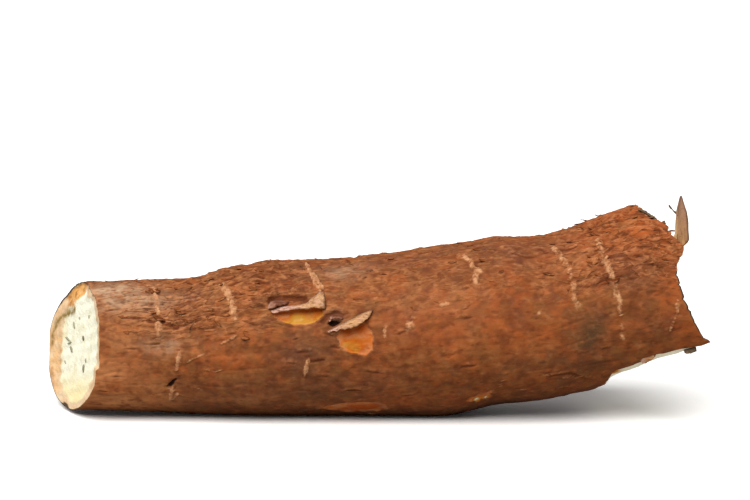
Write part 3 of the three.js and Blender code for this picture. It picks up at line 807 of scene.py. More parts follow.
def sheet_faces(n: int, m: int) -> Faces:
    """Faces of a closed thin sheet: n by m corners above, then as many below.

    Args:
        n: Rows of corners.
        m: Corners in a row.

    Returns:
        The faces, all outward.
    """
    top = np.arange(n * m).reshape(n, m)
    low = top + n * m
    rim = np.concatenate([top[:, 0], top[-1, 1:], top[-2::-1, -1], top[0, -2:0:-1]]).tolist()
    below = [face[::-1] for face in quads(low[:, :-1], low[:, 1:])]
    sides = [(b, a, a + n * m, b + n * m) for a, b in zip(rim, rim[1:] + rim[:1])]
    return quads(top[:, :-1], top[:, 1:]) + below + sides


def kept_in_box(points: Array) -> Array:
    """Points moved to the solid's box where they pass it."""
    return np.clip(points, *np.array(CAD_BOX))


def hand_over(piece: Piece, finish: bpy.types.Material | None = None) -> None:
    """Gives a piece its finish, lets it move with the root and logs its face count.

    Args:
        piece: A piece at the origin.
        finish: Its finish, if it hasn't got it yet.
    """
    if finish:
        piece.data.materials.append(finish)
    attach(piece, BODY)
    LOG.info("%s: %d faces", piece.name, len(piece.data.polygons))


class Sketch:
    """Places and links the nodes of one tree, so that a finish reads as a recipe."""

    def __init__(self, tree: bpy.types.NodeTree) -> None:
        """Starts on a tree that is there already."""
        self.tree = tree
        self.place = 0

    def node(self, kind: str, settings: dict[str, object] | None, *values: object, **inputs: object) -> bpy.types.Node:
        """Adds a node.

        Args:
            kind: The node's type.
            settings: Its own properties.
            *values: Values or sockets for its first inputs, in order.
            **inputs: Values or sockets for inputs in use, by name, with _ for a space.

        Returns:
            The node.
        """
        made = self.tree.nodes.new(kind)
        made.location = (220 * (self.place % 12), -260 * (self.place // 12))
        self.place += 1
        for key, value in (settings or {}).items():
            setattr(made, key, value)
        for socket, value in zip(made.inputs, values):
            self.feed(socket, value)
        for key, value in inputs.items():
            self.feed(next(s for s in made.inputs if s.name == key.replace("_", " ") and s.enabled), value)
        return made

    def feed(self, socket: Socket, value: object) -> None:
        """Links a socket, or sets its value; three numbers are a display colour where the socket takes a colour.

        Args:
            socket: The input.
            value: Another node's output, or a constant.
        """
        if isinstance(value, Socket):
            self.tree.links.new(value, socket)
        elif socket.type == "RGBA" and len(value) == 3:
            socket.default_value = tone(*value)
        else:
            socket.default_value = value

    def attribute(self, name: str) -> Socket:
        """A number that the mesh carries."""
        return self.node("ShaderNodeAttribute", {"attribute_name": name}).outputs["Fac"]

    def sum(self, kind: str, *values: object) -> Socket:
        """One step of arithmetic, such as ADD or MULTIPLY."""
        return self.node("ShaderNodeMath", {"operation": kind}, *values).outputs[0]

    def times(self, *values: object) -> Socket:
        """The product of all values."""
        return reduce(lambda a, b: self.sum("MULTIPLY", a, b), values)

    def less(self, value: object, taken: float) -> Socket:
        """The value less a number."""
        return self.sum("SUBTRACT", value, taken)

    def rest(self, value: object) -> Socket:
        """What is missing to 1."""
        return self.sum("SUBTRACT", 1.0, value)

    def vector(self, kind: str, *values: object, **inputs: object) -> Socket:
        """One step of arithmetic with vectors, such as ADD or SCALE."""
        return self.node("ShaderNodeVectorMath", {"operation": kind}, *values, **inputs).outputs[0]

    def reach(self, value: object, low: object, high: object) -> Socket:
        """An even rise from 0 at low to 1 at high."""
        return self.node("ShaderNodeMapRange", None, Value=value, From_Min=low, From_Max=high).outputs["Result"]

    def step(self, value: object, low: float, high: float, start: float = 0.0, end: float = 1.0) -> Socket:
        """A soft step from start at low to end at high."""
        soft = {"interpolation_type": "SMOOTHSTEP"}
        return self.node("ShaderNodeMapRange", soft, value, low, high, start, end).outputs["Result"]

    def blend(self, share: object, first: object, second: object) -> Socket:
        """Two colours mixed, with that share of the second."""
        mixed = {"data_type": "RGBA", "blend_type": "MIX", "clamp_factor": True}
        return self.node("ShaderNodeMix", mixed, share, A=first, B=second).outputs[2]

    def coats(self, colour: object, *coats: tuple[object, object]) -> Socket:
        """A colour with coats over it, each a share and a colour."""
        return reduce(lambda below, coat: self.blend(coat[0], below, coat[1]), coats, colour)

    def ramp(self, value: object, stops: Sequence[tuple[float, Colour]]) -> Socket:
        """A colour looked up on a row of colours.

        Args:
            value: The place on the row, from 0 to 1.
            stops: Each colour with its place.

        Returns:
            The colour.
        """
        made = self.node("ShaderNodeValToRGB", None, value)
        row = made.color_ramp
        while len(row.elements) < len(stops):
            row.elements.new(1.0)
        for element, (place, colour) in zip(row.elements, stops):
            element.position = place
            element.color = tone(*colour)
        return made.outputs["Color"]


class Effect:
    """The shader node groups that several finishes share.

    Each recipe gets the group's own inputs and gives its outputs by name.
    """

    inputs = {
        "fibres": {"Length": 0.01, "Width": 0.003, "Detail": 3.0, "Offset": 0.0, "Low": 0.3, "High": 0.7},
        "layers": {"Length": 0.02, "Width": 0.008, "Levels": 6.0, "Foot": 0.25},
        "flecks": {"Spacing": 0.006, "Stretch": 1.0, "Radius": 0.12, "Share": 0.3},
        "crackle": {"Length": 0.006, "Width": 0.002, "Warp": 1.1, "Crack": 0.08},
    }
    made: dict[str, bpy.types.NodeTree] = {}

    @classmethod
    def group(cls, name: str) -> bpy.types.NodeTree:
        """A group, built when it is first wanted.

        Args:
            name: Its name, which is its recipe's too.

        Returns:
            The group.
        """
        if name not in cls.made:
            group = cls.made[name] = bpy.data.node_groups.new(name, "ShaderNodeTree")
            new = group.interface.new_socket
            new(name="Vector", in_out="INPUT", socket_type="NodeSocketVector")
            for label, value in cls.inputs[name].items():
                new(name=label, in_out="INPUT", socket_type="NodeSocketFloat").default_value = value
            s = Sketch(group)
            results = getattr(cls, name)(s, s.node("NodeGroupInput", None).outputs)
            for label in results:
                new(name=label, in_out="OUTPUT", socket_type="NodeSocketFloat")
            s.node("NodeGroupOutput", None, **results)
        return cls.made[name]

    @staticmethod
    def shrunk(s: Sketch, where: object, long: object, wide: object) -> Socket:
        """Coordinates in which a patch of that length and width is one unit long and wide."""
        return s.vector("DIVIDE", where, s.node("ShaderNodeCombineXYZ", None, long, wide, wide).outputs[0])

    @classmethod
    def fibres(cls, s: Sketch, given: Sockets) -> dict[str, Socket]:
        """Noise stretched along the root, with its length and width in metres.

        Args:
            s: The group's nodes.
            given: The group's inputs.

        Returns:
            Its Value.
        """
        moved = s.vector("ADD", cls.shrunk(s, given["Vector"], given["Length"], given["Width"]), given["Offset"])
        noise = s.node("ShaderNodeTexNoise", None, Vector=moved, Scale=1.0, Detail=given["Detail"], Roughness=0.6)
        return {"Value": s.reach(noise.outputs["Fac"], given["Low"], given["High"])}

    @classmethod
    def layers(cls, s: Sketch, given: Sockets) -> dict[str, Socket]:
        """Thin wavy layers that end in broken edges: their height from 0 to 1, and the foot of each edge, which the
        bark's finish darkens as painted shade.

        Args:
            s: The group's nodes.
            given: The group's inputs.

        Returns:
            Their Height and Foot.
        """
        shrunk = cls.shrunk(s, given["Vector"], given["Length"], given["Width"])
        noise = s.node("ShaderNodeTexNoise", None, Vector=shrunk, Scale=1.0, Detail=2.5, Roughness=0.45)
        share = s.sum("FRACT", s.times(noise.outputs["Fac"], given["Levels"]))
        return {"Height": s.times(share, s.step(share, 1.0, 0.93)), "Foot": s.reach(share, given["Foot"], 0.0)}

    @classmethod
    def flecks(cls, s: Sketch, given: Sockets) -> dict[str, Socket]:
        """Small scattered spots: their size and spacing in metres, and how many of the places have one.

        Args:
            s: The group's nodes.
            given: The group's inputs.

        Returns:
            The mask of the spots.
        """
        long = s.times(given["Spacing"], given["Stretch"])
        shrunk = cls.shrunk(s, given["Vector"], long, given["Spacing"])
        cell = s.node("ShaderNodeTexVoronoi", None, Vector=shrunk, Scale=1.0)
        chosen = s.node("ShaderNodeSeparateColor", None, cell.outputs["Color"]).outputs[0]
        size = s.times(given["Radius"], s.step(chosen, 0.0, 0.3, 0.5, 1.0))
        near = s.reach(cell.outputs["Distance"], size, s.times(size, 0.55))
        return {"Value": s.times(near, s.sum("LESS_THAN", chosen, given["Share"]))}

    @classmethod
    def crackle(cls, s: Sketch, given: Sockets) -> dict[str, Socket]:
        """Fine cracks between small scales: 1 on a crack and 0 off it, with the scales' length and width in metres.

        Args:
            s: The group's nodes.
            given: The group's inputs.

        Returns:
            The mask of the cracks.
        """
        shrunk = cls.shrunk(s, given["Vector"], given["Length"], given["Width"])
        noise = s.node("ShaderNodeTexNoise", None, Vector=shrunk, Scale=0.9, Detail=2.0)
        bent = s.vector("ADD", shrunk, s.vector("SCALE", noise.outputs["Color"], Scale=given["Warp"]))
        edge = s.node("ShaderNodeTexVoronoi", {"feature": "DISTANCE_TO_EDGE"}, Vector=bent, Scale=1.0)
        return {"Value": s.reach(edge.outputs["Distance"], given["Crack"], 0.0)}


class Finish:
    """A material in the making: its tree, its coordinates and its shader."""

    def __init__(self, name: str, roughness: float, specular: float) -> None:
        """Makes the material.

        Args:
            name: The material's name.
            roughness: How matte it is.
            specular: How strongly it reflects.
        """
        self.material = bpy.data.materials.new(name)
        self.material.use_nodes = True
        self.material.node_tree.nodes.clear()
        self.s = Sketch(self.material.node_tree)
        kind = "ShaderNodeBsdfPrincipled"
        self.shader = self.s.node(kind, None, Roughness=roughness, Specular_IOR_Level=specular)
        self.s.node("ShaderNodeOutputMaterial", None, Surface=self.shader.outputs[0])
        self.coordinates = self.s.node("ShaderNodeTexCoord", None).outputs["Object"]

    def effect(self, name: str, output: str = "Value", **inputs: float) -> Socket:
        """Places a shared effect on the material's own coordinates.

        Args:
            name: The effect's name.
            output: Which output is wanted.
            **inputs: Values for its inputs, with lengths in millimetres.

        Returns:
            The output.
        """
        lengths = {k: v * MM if k in ("Length", "Width", "Spacing") else v for k, v in inputs.items()}
        group = {"node_tree": Effect.group(name)}
        return self.s.node("ShaderNodeGroup", group, Vector=self.coordinates, **lengths).outputs[output]

    def fibres(self, length: float, width: float, low: float = 0.3, high: float = 0.7, **others: float) -> Socket:
        """Stretched noise from 0 to 1."""
        extra = {key.capitalize(): value for key, value in others.items()}
        return self.effect("fibres", Length=length, Width=width, Low=low, High=high, **extra)

    def layers(self, output: str, length: float, width: float, levels: float) -> Socket:
        """Layers of bark: their Height or their Foot."""
        return self.effect("layers", output, Length=length, Width=width, Levels=levels)

    def flecks(self, spacing: float, stretch: float, radius: float, share: float) -> Socket:
        """Scattered spots."""
        return self.effect("flecks", Spacing=spacing, Stretch=stretch, Radius=radius, Share=share)

    def crackle(self, length: float, width: float, crack: float) -> Socket:
        """Fine cracks."""
        return self.effect("crackle", Length=length, Width=width, Crack=crack)

    def done(self, colour: Socket, *relief: tuple[object, float]) -> bpy.types.Material:
        """Feeds the shader.

        Args:
            colour: Its colour.
            *relief: Each pattern that roughens the surface, with its height in millimetres.

        Returns:
            The material.
        """
        total: object = 0.0
        for pattern, height in relief:
            total = self.s.sum("MULTIPLY_ADD", pattern, height * MM, total)
        bump = self.s.node("ShaderNodeBump", None, Strength=1.0, Distance=1.0, Height=total)
        for name, value in (("Normal", bump.outputs[0]), ("Base Color", colour)):
            self.s.feed(self.shader.inputs[name], value)
        return self.material


@dataclass(frozen=True)
class BarkFinish:
    """The flaking brown bark, with its scars, stains and torn windows, and painted shade and highlights."""

    deep: Colour = (104, 55, 27)
    brown: Colour = (130, 74, 37)
    light: Colour = (150, 92, 51)
    olive: Colour = (130, 86, 46)
    # The cracks' own dark brown, also used as painted shade in cracks and recesses, and for dark strokes and specks.
    crevice: Colour = (94, 45, 21)
    # Painted highlight on raised edges and pale strokes.
    lifted: Colour = (192, 128, 84)
    scar: Colour = (206, 154, 112)
    scar_low: Colour = (168, 112, 74)
    film: Colour = (190, 160, 130)
    smudge: Colour = (78, 58, 38)
    dusky: Colour = (98, 57, 40)
    warm: Colour = (170, 84, 36)
    # Painted shade for the underside.
    underside_shade: Colour = (52, 28, 18)
    tanned: Colour = (186, 122, 76)
    ruddy: Colour = (140, 71, 31)
    flesh: Colour = (254, 247, 222)
    yellow: Colour = (190, 138, 50)
    orange: Colour = (188, 94, 22)
    peach: Colour = (190, 118, 70)
    red: Colour = (166, 74, 16)
    # Painted shade: near-black for deep hollows.
    hollow: Colour = (40, 18, 12)
    border: Colour = (206, 152, 108)
    roughness: float = 0.8

    def material(self) -> bpy.types.Material:
        """Builds the material.

        Returns:
            The bark's material.
        """
        f = Finish("bark", self.roughness, 0.1)
        s = f.s
        middle = f.fibres(5.2, 5.0, 0.32, 0.68, detail=1.5, offset=4.0)
        fine = f.fibres(2.1, 2.0, detail=1.5, offset=9.0)
        flaky = s.attribute("flaky")
        colour = self._marks(f, self._ground(f, middle, fine), middle, fine, flaky)
        colour, inside = self._openings(f, colour, middle)
        s.feed(f.shader.inputs["Roughness"], s.step(middle, 0.0, 1.0, self.roughness - 0.1, self.roughness + 0.12))
        quiet = s.rest(inside)
        net = s.times(f.crackle(6.5, 3.4, 0.08), quiet, s.step(flaky, 0.0, 0.8, 0.25, 1.0))
        ragged = s.times(quiet, s.step(flaky, 0.0, 0.8, 0.06, 1.0))
        wide, narrow = (s.times(f.layers("Height", *size), ragged) for size in ((24, 7.5, 7.0), (13, 4.2, 5.0)))
        return f.done(colour, (s.times(middle, quiet), 0.26), (fine, 0.06), (net, -0.1), (wide, 0.34), (narrow, 0.15))

    def _ground(self, f: Finish, middle: Socket, fine: Socket) -> Socket:
        """The bark's own mottled browns with its wide stains, painted shade on the underside and a painted shadow on
        the top.

        Args:
            f: The finish in the making.
            middle: Noise of a few millimetres.
            fine: Noise of about a millimetre.

        Returns:
            The colour.
        """
        s = f.s
        mottle = s.times(f.fibres(20, 14, 0.32, 0.68, detail=2.0), 0.3)
        for noise, share in ((middle, 0.54), (fine, 0.16)):
            mottle = s.sum("MULTIPLY_ADD", noise, share, mottle)
        colour = s.ramp(mottle, ((0.2, self.deep), (0.5, self.brown), (0.8, self.light)))
        length = s.node("ShaderNodeSeparateXYZ", None, f.coordinates).outputs["X"]
        colour = s.blend(s.step(length, -0.04, 0.14, 0.0, 0.45), colour, self.ruddy)
        for shade, share, size, offset in (
            (self.olive, 0.42, (7, 7), 21.0), (self.dusky, 0.3, (9, 8), 27.0), (self.warm, 0.32, (7, 6), 35.0),
        ):
            patches = f.fibres(*size, 0.38, 0.62, detail=1.5, offset=offset)
            colour = s.blend(s.step(patches, 0.5, 1.0, 0.0, share), colour, shade)
        for name, share, size, offset in (
            ("warm", 0.7, (12, 7, 0.3, 0.7), 2.0), ("tanned", 0.85, (7, 6, 0.25, 0.65), 25.0),
            ("dusky", 0.75, (10, 8, 0.25, 0.65), 31.0), ("film", 0.95, (6, 4.4, 0.25, 0.7), 6.0),
            ("smudge", 0.85, (7, 5.4, 0.2, 0.65), 8.0), ("underside_shade", 0.95, (9, 4.6, 0.05, 0.45), 44.0),
        ):
            patches = s.step(f.fibres(*size, offset=offset), 0.05, 0.75, 0.2, 1.0)
            colour = s.blend(s.times(s.attribute(name), patches, share), colour, getattr(self, name))
        return colour

    def _marks(self, f: Finish, colour: Socket, middle: Socket, fine: Socket, flaky: Socket) -> Socket:
        """Pale and dark strokes, cracks and scars, with painted highlights on raised edges and painted shade in cracks
        and under layer edges.

        Args:
            f: The finish in the making.
            colour: The colour below the marks.
            middle: Noise of a few millimetres.
            fine: Noise of about a millimetre.
            flaky: How flaky the bark is.

        Returns:
            The colour.
        """
        s = f.s

        def grown(calm: float, rough: float) -> Socket:
            """A share that is calm on smooth bark and rough on flaking bark."""
            return s.step(flaky, 0.0, 0.8, calm, rough)

        # Painted highlight on raised edges.
        colour = s.blend(s.times(s.attribute("lifted"), s.step(fine, 0.15, 0.7), 0.6), colour, self.lifted)
        for shade, shares, size, offset in (
            (self.lifted, (0.22, 0.4), (4.0, 3.2, 0.58, 0.78), 53.0),
            (self.deep, (0.6, 0.4), (5.6, 4.2, 0.54, 0.7), 41.0),
            (self.crevice, (0.5, 0.5), (4.4, 2.6, 0.62, 0.74), 61.0),
        ):
            strokes = f.fibres(*size, detail=1.0, offset=offset)
            colour = s.blend(s.times(strokes, grown(*shares)), colour, shade)
        # Painted highlight on the tops of layer edges and painted shade at their feet.
        for size, shares in (((24, 7.5, 7.0), (0.04, 0.8)), ((13, 4.2, 5.0), (0.03, 0.42))):
            top = s.times(s.step(f.layers("Height", *size), 0.55, 0.9), grown(0.05, 0.4), middle)
            foot = s.times(f.layers("Foot", *size), s.step(middle, 0.25, 0.6, 0.2, 1.0), grown(*shares))
            colour = s.coats(colour, (top, self.lifted), (foot, self.crevice))
        dark = s.sum("ADD", f.flecks(4.4, 1.7, 0.32, 0.16), f.flecks(2.6, 1.8, 0.36, 0.24))
        colour = s.blend(s.times(dark, 0.42), colour, self.crevice)
        for size, shares in (((8.0, 4.0, 0.07), (0.03, 0.32)), ((4.2, 2.3, 0.08), (0.03, 0.2))):
            net = s.times(f.crackle(*size), s.step(middle, 0.42, 0.75), grown(*shares))
            colour = s.blend(net, colour, self.crevice)
        # Painted shade in cracks and recesses.
        crevice = s.times(s.attribute("crevice"), s.step(fine, 0.0, 0.5, 0.65, 1.0))
        colour = s.blend(s.step(crevice, 0.08, 0.75, 0.0, 0.85), colour, self.crevice)
        patchy = f.fibres(1.6, 1.4, 0.34, 0.66, detail=2.0, offset=12.0)
        wide = f.fibres(3.6, 3.6, 0.34, 0.66, offset=17.0)
        worn = s.sum("MULTIPLY_ADD", patchy, 0.4, s.sum("MULTIPLY_ADD", wide, 0.4, -0.4))
        scar = s.step(s.sum("MULTIPLY_ADD", worn, 0.7, s.attribute("scar")), 0.18, 0.8)
        shade = s.blend(s.step(worn, -0.2, 0.3), self.scar_low, self.scar)
        return s.blend(s.times(scar, s.step(worn, -0.4, 0.0, 0.45, 0.8)), colour, shade)

    def _openings(self, f: Finish, colour: Socket, middle: Socket) -> tuple[Socket, Socket]:
        """The cortex that shows in the torn windows.

        Args:
            f: The finish in the making.
            colour: The bark's colour.
            middle: Noise of a few millimetres.

        Returns:
            The colour, and a mask that is 1 in the windows.
        """
        s = f.s
        exposed, shaded = s.attribute("exposed"), s.attribute("shaded")
        place = s.sum("MULTIPLY_ADD", s.less(middle, 0.4), 0.12, exposed)
        shown = s.ramp(place, [(kind.value, getattr(self, kind.name.lower())) for kind in Exposed])
        streak = f.fibres(4.2, 2.0, offset=15.0)
        cortex = s.times(s.step(exposed, 0.95, 0.85), s.step(exposed, 0.12, 0.22))
        shown = s.coats(
            shown,
            (s.times(s.step(middle, 0.5, 0.95, 0.0, 0.18), cortex), self.border),
            (s.times(s.step(streak, 0.5, 0.9, 0.0, 0.6), cortex), self.red),
            (s.times(shaded, cortex, 0.8), self.red),
        )
        window = s.sum("MULTIPLY_ADD", s.less(streak, 0.5), 0.7, s.attribute("window"))
        inside = s.step(window, -0.35, 0.35)
        rim = s.times(s.step(window, -0.6, -0.1), s.rest(s.step(window, 0.2, 1.1)), s.rest(shaded))
        pale = s.times(rim, cortex, s.step(middle, 0.3, 0.7), 0.22)
        return s.coats(colour, (inside, shown), (pale, self.border)), inside


@dataclass(frozen=True)
class FleshFinish:
    """The cream flesh of the cut and torn ends, with the rind round it.

    The mesh carries "rind", the millimetres into the rind from the flesh, "husk", 1 at its dark outer edge, and how
    "stale", "rot" and "yellow" the flesh is.
    """

    name: str
    flesh: Colour = (245, 244, 224)
    shade: Colour = (228, 222, 188)
    yellow: Colour = (238, 218, 156)
    rind: Colour = (226, 200, 164)
    rind_dark: Colour = (208, 166, 122)
    stale: Colour = (222, 162, 88)
    stale_dark: Colour = (168, 108, 52)
    rot: Colour = (132, 106, 44)
    husk: Colour = (78, 62, 46)

    def material(self) -> bpy.types.Material:
        """Builds the material.

        Returns:
            The flesh's material.
        """
        f = Finish(self.name, 0.6, 0.2)
        s = f.s
        soft = f.fibres(6, 6)
        grainy = f.fibres(1.5, 1.5, detail=4.0, offset=3.0)
        speck = f.flecks(4.6, 1.0, 0.11, 0.16)
        into = s.sum("MULTIPLY_ADD", s.less(grainy, 0.5), 0.9, s.attribute("rind"))
        husk = s.step(s.sum("MULTIPLY_ADD", grainy, 0.3, s.attribute("husk")), 0.5, 0.9)
        colour = s.coats(
            self.flesh,
            (s.step(soft, 0.4, 0.95, 0.0, 0.75), self.shade),
            (s.times(s.step(grainy, 0.5, 1.0), 0.3), self.shade),
            (s.times(s.attribute("yellow"), 0.85), self.yellow),
            (s.times(speck, 0.3), self.rot),
            (s.step(into, -0.5, 0.4), self.rind),
            (s.step(into, 0.3, 2.6, 0.0, 0.75), s.blend(s.step(soft, 0.15, 0.85), self.rind, self.rind_dark)),
            (
                s.times(s.attribute("stale"), s.step(grainy, 0.0, 0.6, 0.6, 1.0)),
                s.blend(s.step(soft, 0.45, 0.85), self.stale, self.stale_dark),
            ),
            (s.times(s.attribute("rot"), s.step(grainy, 0.1, 0.7, 0.5, 1.0)), self.rot),
            (husk, self.husk),
        )
        return f.done(colour, (soft, 0.3), (grainy, 0.16), (speck, -0.2))


def spaced(fine: Array, wanted: Array, shares: Array) -> Array:
    """Places that stand closer together where more are wanted.

    Args:
        fine: Closely spaced places, in order.
        wanted: How many are wanted at each of them, against the others.
        shares: The wanted places' order, as shares of all of them.

    Returns:
        The places.
    """
    total = np.concatenate([[0.0], np.cumsum((wanted[1:] + wanted[:-1]) / 2)])
    return np.interp(shares * total[-1], total, fine)


@dataclass(frozen=True)
class RootBody:
    """The whole root: bark, cut face and torn face in one closed skin."""

    around: int = 372
    along: int = 200
    straightened_by: float = 0.3
    end_from: float = 0.5
    nominal_end: float = 118.0
    dishing: float = 0.8
    chip_depth: float = 3.0
    crack_depth: float = 0.25
    heart: Point3 = (108.0, 2.0, 49.0)
    lumps: float = 2.6
    torn_rind: float = 2.2
    rind_reach: float = 6.0
    rim_chipped: float = 0.6
    rim_rounds: int = 3
    fine_angles: int = 7201
    fine_stations: int = 4001
    cut_rings: tuple[float, ...] = (
        0.985, 0.965, 0.94, 0.915, 0.885, 0.855, 0.82, 0.785, 0.75, 0.71, 0.67, 0.62, 0.57, 0.51, 0.45, 0.38, 0.3,
        0.2, 0.09,
    )
    torn_rings: tuple[float, ...] = (
        0.992, 0.975, 0.95, 0.92, 0.885, 0.85, 0.81, 0.77, 0.72, 0.67, 0.62, 0.56, 0.5, 0.44, 0.37, 0.29, 0.2, 0.09,
    )
    rim_shift: Line = (
        (-180, -1.1), (-150, -1.2), (-125, -0.9), (-90, -0.2), (-61, -0.6), (-46, -0.7), (-26, -0.3), (-18, -0.8),
        (-11.5, -1.4), (-9, -0.2), (-7, -0.3), (3, -1.1), (22, -1.7), (35, -1.3), (53, -0.7), (70, -0.2), (90, 0.4),
        (125, 0.4), (160, -0.4), (180, -1.1),
    )
    rind_width: Line = (
        (-180, 10.8), (-165, 10.8), (-150, 10.2), (-137, 8.2), (-125, 6.6), (-106, 5.2), (-87, 3.2), (-60, 2.8),
        (-46, 4), (-37, 5), (-15, 4.8), (8, 6), (30, 5.4), (42, 5.4), (54, 3.6), (62, 3), (72, 4.4), (82, 3), (95, 3),
        (110, 4.6), (125, 6.4), (140, 8.8), (158, 10), (180, 10.8),
    )
    crack: Line = (
        (7.6, 43.6), (13.6, 41.2), (19.6, 38.6), (23.4, 35.2), (24.4, 31), (24, 25.5),
    )
    patch: Line = (
        (26, 49), (22, 54), (14, 57.5), (6, 57.5), (0, 55.5), (0, 52), (4.5, 49), (7.5, 44.8), (13, 43.8), (21, 46),
    )
    edge: Line = (
        (-180, 107), (-150, 101), (-130, 96), (-110, 93), (-90, 93.5), (-74, 95), (-66, 96.8), (-59, 99), (-54, 101),
        (-51.5, 103.5), (-49.5, 107.5), (-46.5, 112.5), (-42.8, 116.5), (-40.6, 120), (-39.6, 125), (-38.3, 129),
        (-36.2, 133.5), (-33.6, 138), (-31, 142.3), (-28.5, 141), (-25.5, 138.6), (-16, 135.6), (-6, 132.6),
        (7, 129.2), (19.5, 127.2), (25, 126.6), (31, 127.4), (37, 129.2), (42, 130.6), (47, 130.4), (50, 128.6),
        (54, 125.8), (60, 124), (66, 119.5), (74, 115.5), (84, 113), (98, 112.5), (110, 113.5), (122, 112),
        (140, 108), (160, 111), (180, 107),
    )
    proud: Line = (
        (-180, 0.8), (-60, 0.6), (-52, 0.3), (-34, 0.2), (-29, 0.7), (0, 1.1), (22, 0.9), (30, 0.5), (51, 0.4),
        (100, 0.6), (180, 0.8),
    )
    grain: Grain = Grain(901)

    def angles(self) -> Array:
        """Angles round the root from the back's middle, closer together where the front and top show.

        Returns:
            The angles.
        """
        fine = np.linspace(-math.pi, math.pi, self.fine_angles)
        degrees = np.degrees(fine)
        wanted = 1 + 0.9 * hump(-85, -60, 95, 125, degrees) + 0.8 * hump(-56, -50, -31, -26, degrees)
        return spaced(fine, wanted, np.arange(self.around) / self.around)

    def stations(self) -> Array:
        """Shares of the length for the rows of the mesh, closer together at the windows and at both ends.

        Returns:
            The shares, from 0 to 1.
        """
        fine = np.linspace(0, 1, self.fine_stations)
        x = mix(FORM.cut_x, self.nominal_end, fine)
        wanted = 1 + 0.7 * hump(-52, -44, 0, 6, x) + 0.5 * (smooth(-112, -124, x) + smooth(84, 104, x))
        return spaced(fine, wanted, np.linspace(0, 1, self.along))

    def edge_at(self, degrees: Array) -> Array:
        """x of the bark's torn edge, with its splinters.

        Args:
            degrees: Angles round the root.

        Returns:
            x at each of them.
        """
        edge, turn = looked_up(self.edge, degrees), degrees / 360
        jag = 0.75 * self.grain.cloud(0.0, turn, 10, 5.0, 3, 3)
        jag -= 0.54 * smooth(0.15, 0.6, self.grain.waves(40.0, turn, 10, 2.2, 7))
        jag += 1.1 * self.grain.cloud(9.0, turn, 10, 1.7, 2, 9) * hump(52, 57, 96, 104, degrees)
        return edge + jag * smooth(139, 130, edge)

    def chipped(self, degrees: Array) -> Array:
        """How far the cut's rim is broken back, in millimetres."""
        return self.chip_depth * hump(75, 100, 135, 165, np.mod(degrees, 360))

    def bark_rows(self, a: Array, rim: Array) -> tuple[Array, Array]:
        """x and angle of every corner of the bark.

        Args:
            a: The angles round the root.
            rim: x of the cut's rim at each of them.

        Returns:
            x and the angle, a row for each ring from the cut to the torn edge.
        """
        t = self.stations()[:, None]
        x = mix(FORM.cut_x, self.nominal_end, t) + (rim - FORM.cut_x) * (1 - smooth(0, self.straightened_by, t))
        x += (self.edge_at(np.degrees(a)) - self.nominal_end) * smooth(self.end_from, 1.0, t)
        return x, np.broadcast_to(a, x.shape)

    @staticmethod
    def rings_to(middle: Array, rim: Array, shares: Sequence[float]) -> tuple[Array, Array, Array]:
        """Rings from a rim inwards.

        Args:
            middle: The point that they close round.
            rim: The rim's points.
            shares: Each ring's size against the rim's.

        Returns:
            The rings' points, the rings' shares, and how far each point is from the rim in the section.
        """
        share = np.array(shares)[:, None]
        radius = np.hypot(rim[:, 1] - middle[1], rim[:, 2] - middle[2])
        return middle + share[..., None] * (rim - middle), share, (1 - share) * radius

    def cut_face(self, a: Array, rim: Array) -> tuple[Array, Masks]:
        """The knife-cut face, ring by ring from its rim inwards.

        Args:
            a: The angles round the root.
            rim: The rim that the bark ends in.

        Returns:
            The rings, and what the flesh's finish reads.
        """
        degrees = np.degrees(a)
        points, share, off_rim = self.rings_to(FORM.axis(), rim, self.cut_rings)
        y, z = points[..., 1], points[..., 2]
        cloud = partial(self.grain.cloud, y, z / GIRTH)
        crack_off = distance_to_path(y + 0.5 * cloud(5, 4, 3, 30), z, self.crack)
        gap = np.exp(-((crack_off / mix(0.9, 1.4, smooth(28, 42, z))) ** 2))
        knife = 0.16 * np.sin(1.1 * (y * 0.35 + z)) + 0.22 * cloud(16, 9, 3, 40)
        near_rim = smooth(0.7, 1.0, share)
        broken = self.chipped(degrees) * near_rim
        lumps = 0.9 * smooth(0.8, 2.4, broken) * cloud(6, 5, 3, 50)
        flat = FORM.cut_at(y, z) + self.dishing * (1 - share**4) + broken
        flat += looked_up(self.rim_shift, degrees) * near_rim + self.crack_depth * gap
        points[..., 0] = flat + (knife + lumps) * smooth(1.0, 0.94, share)
        width = looked_up(self.rind_width, degrees) * (1 + 0.3 * self.grain.waves(0.0, degrees / 360, 9, 9, 55))
        patch = 1.3 * cloud(6, 5, 3, 60) - distance_to_path(y, z, self.patch, closed=True)
        far_below = smooth(-108, -128, degrees) + smooth(164, 178, degrees)
        tanned = 0.55 * far_below * smooth(-0.5, 1.5, width - off_rim) * smooth(-0.5, 0.3, cloud(7, 5, 3, 65))
        spots = 0.6 * smooth(0.5, 2.0, patch) * smooth(0.15, 0.5, cloud(4, 3, 2, 70))
        dark_edge = smooth(0.55, 0.2, off_rim) * smooth(40, 70, np.abs(degrees))
        return points, {
            "rind": np.clip(width - off_rim, -self.rind_reach, self.rind_reach),
            "husk": dark_edge + smooth(2.6, 1.2, off_rim) * np.exp(-(((degrees + 94) / 7) ** 2)),
            "stale": np.maximum(smooth(-0.6, 1.0, patch), tanned),
            "rot": np.clip(gap * mix(1.0, 1.8, smooth(21, 11, y)) + spots, 0, 1),
            "yellow": np.clip(smooth(22, 6, z + 0.2 * y) + 0.7 * smooth(10, 18, y), 0, 1) * 0.9,
        }

    def torn_face(self, a: Array, rim: Array) -> tuple[Array, Masks]:
        """The torn face, ring by ring from its rim inwards.

        Args:
            a: The angles round the root.
            rim: The edge that the bark ends in.

        Returns:
            The rings, and what the flesh's finish reads.
        """
        degrees = np.degrees(a)
        points, share, off_rim = self.rings_to(np.array(self.heart), rim, self.torn_rings)
        y, z = points[..., 1], points[..., 2]
        cloud = partial(self.grain.cloud, y, z / GIRTH)
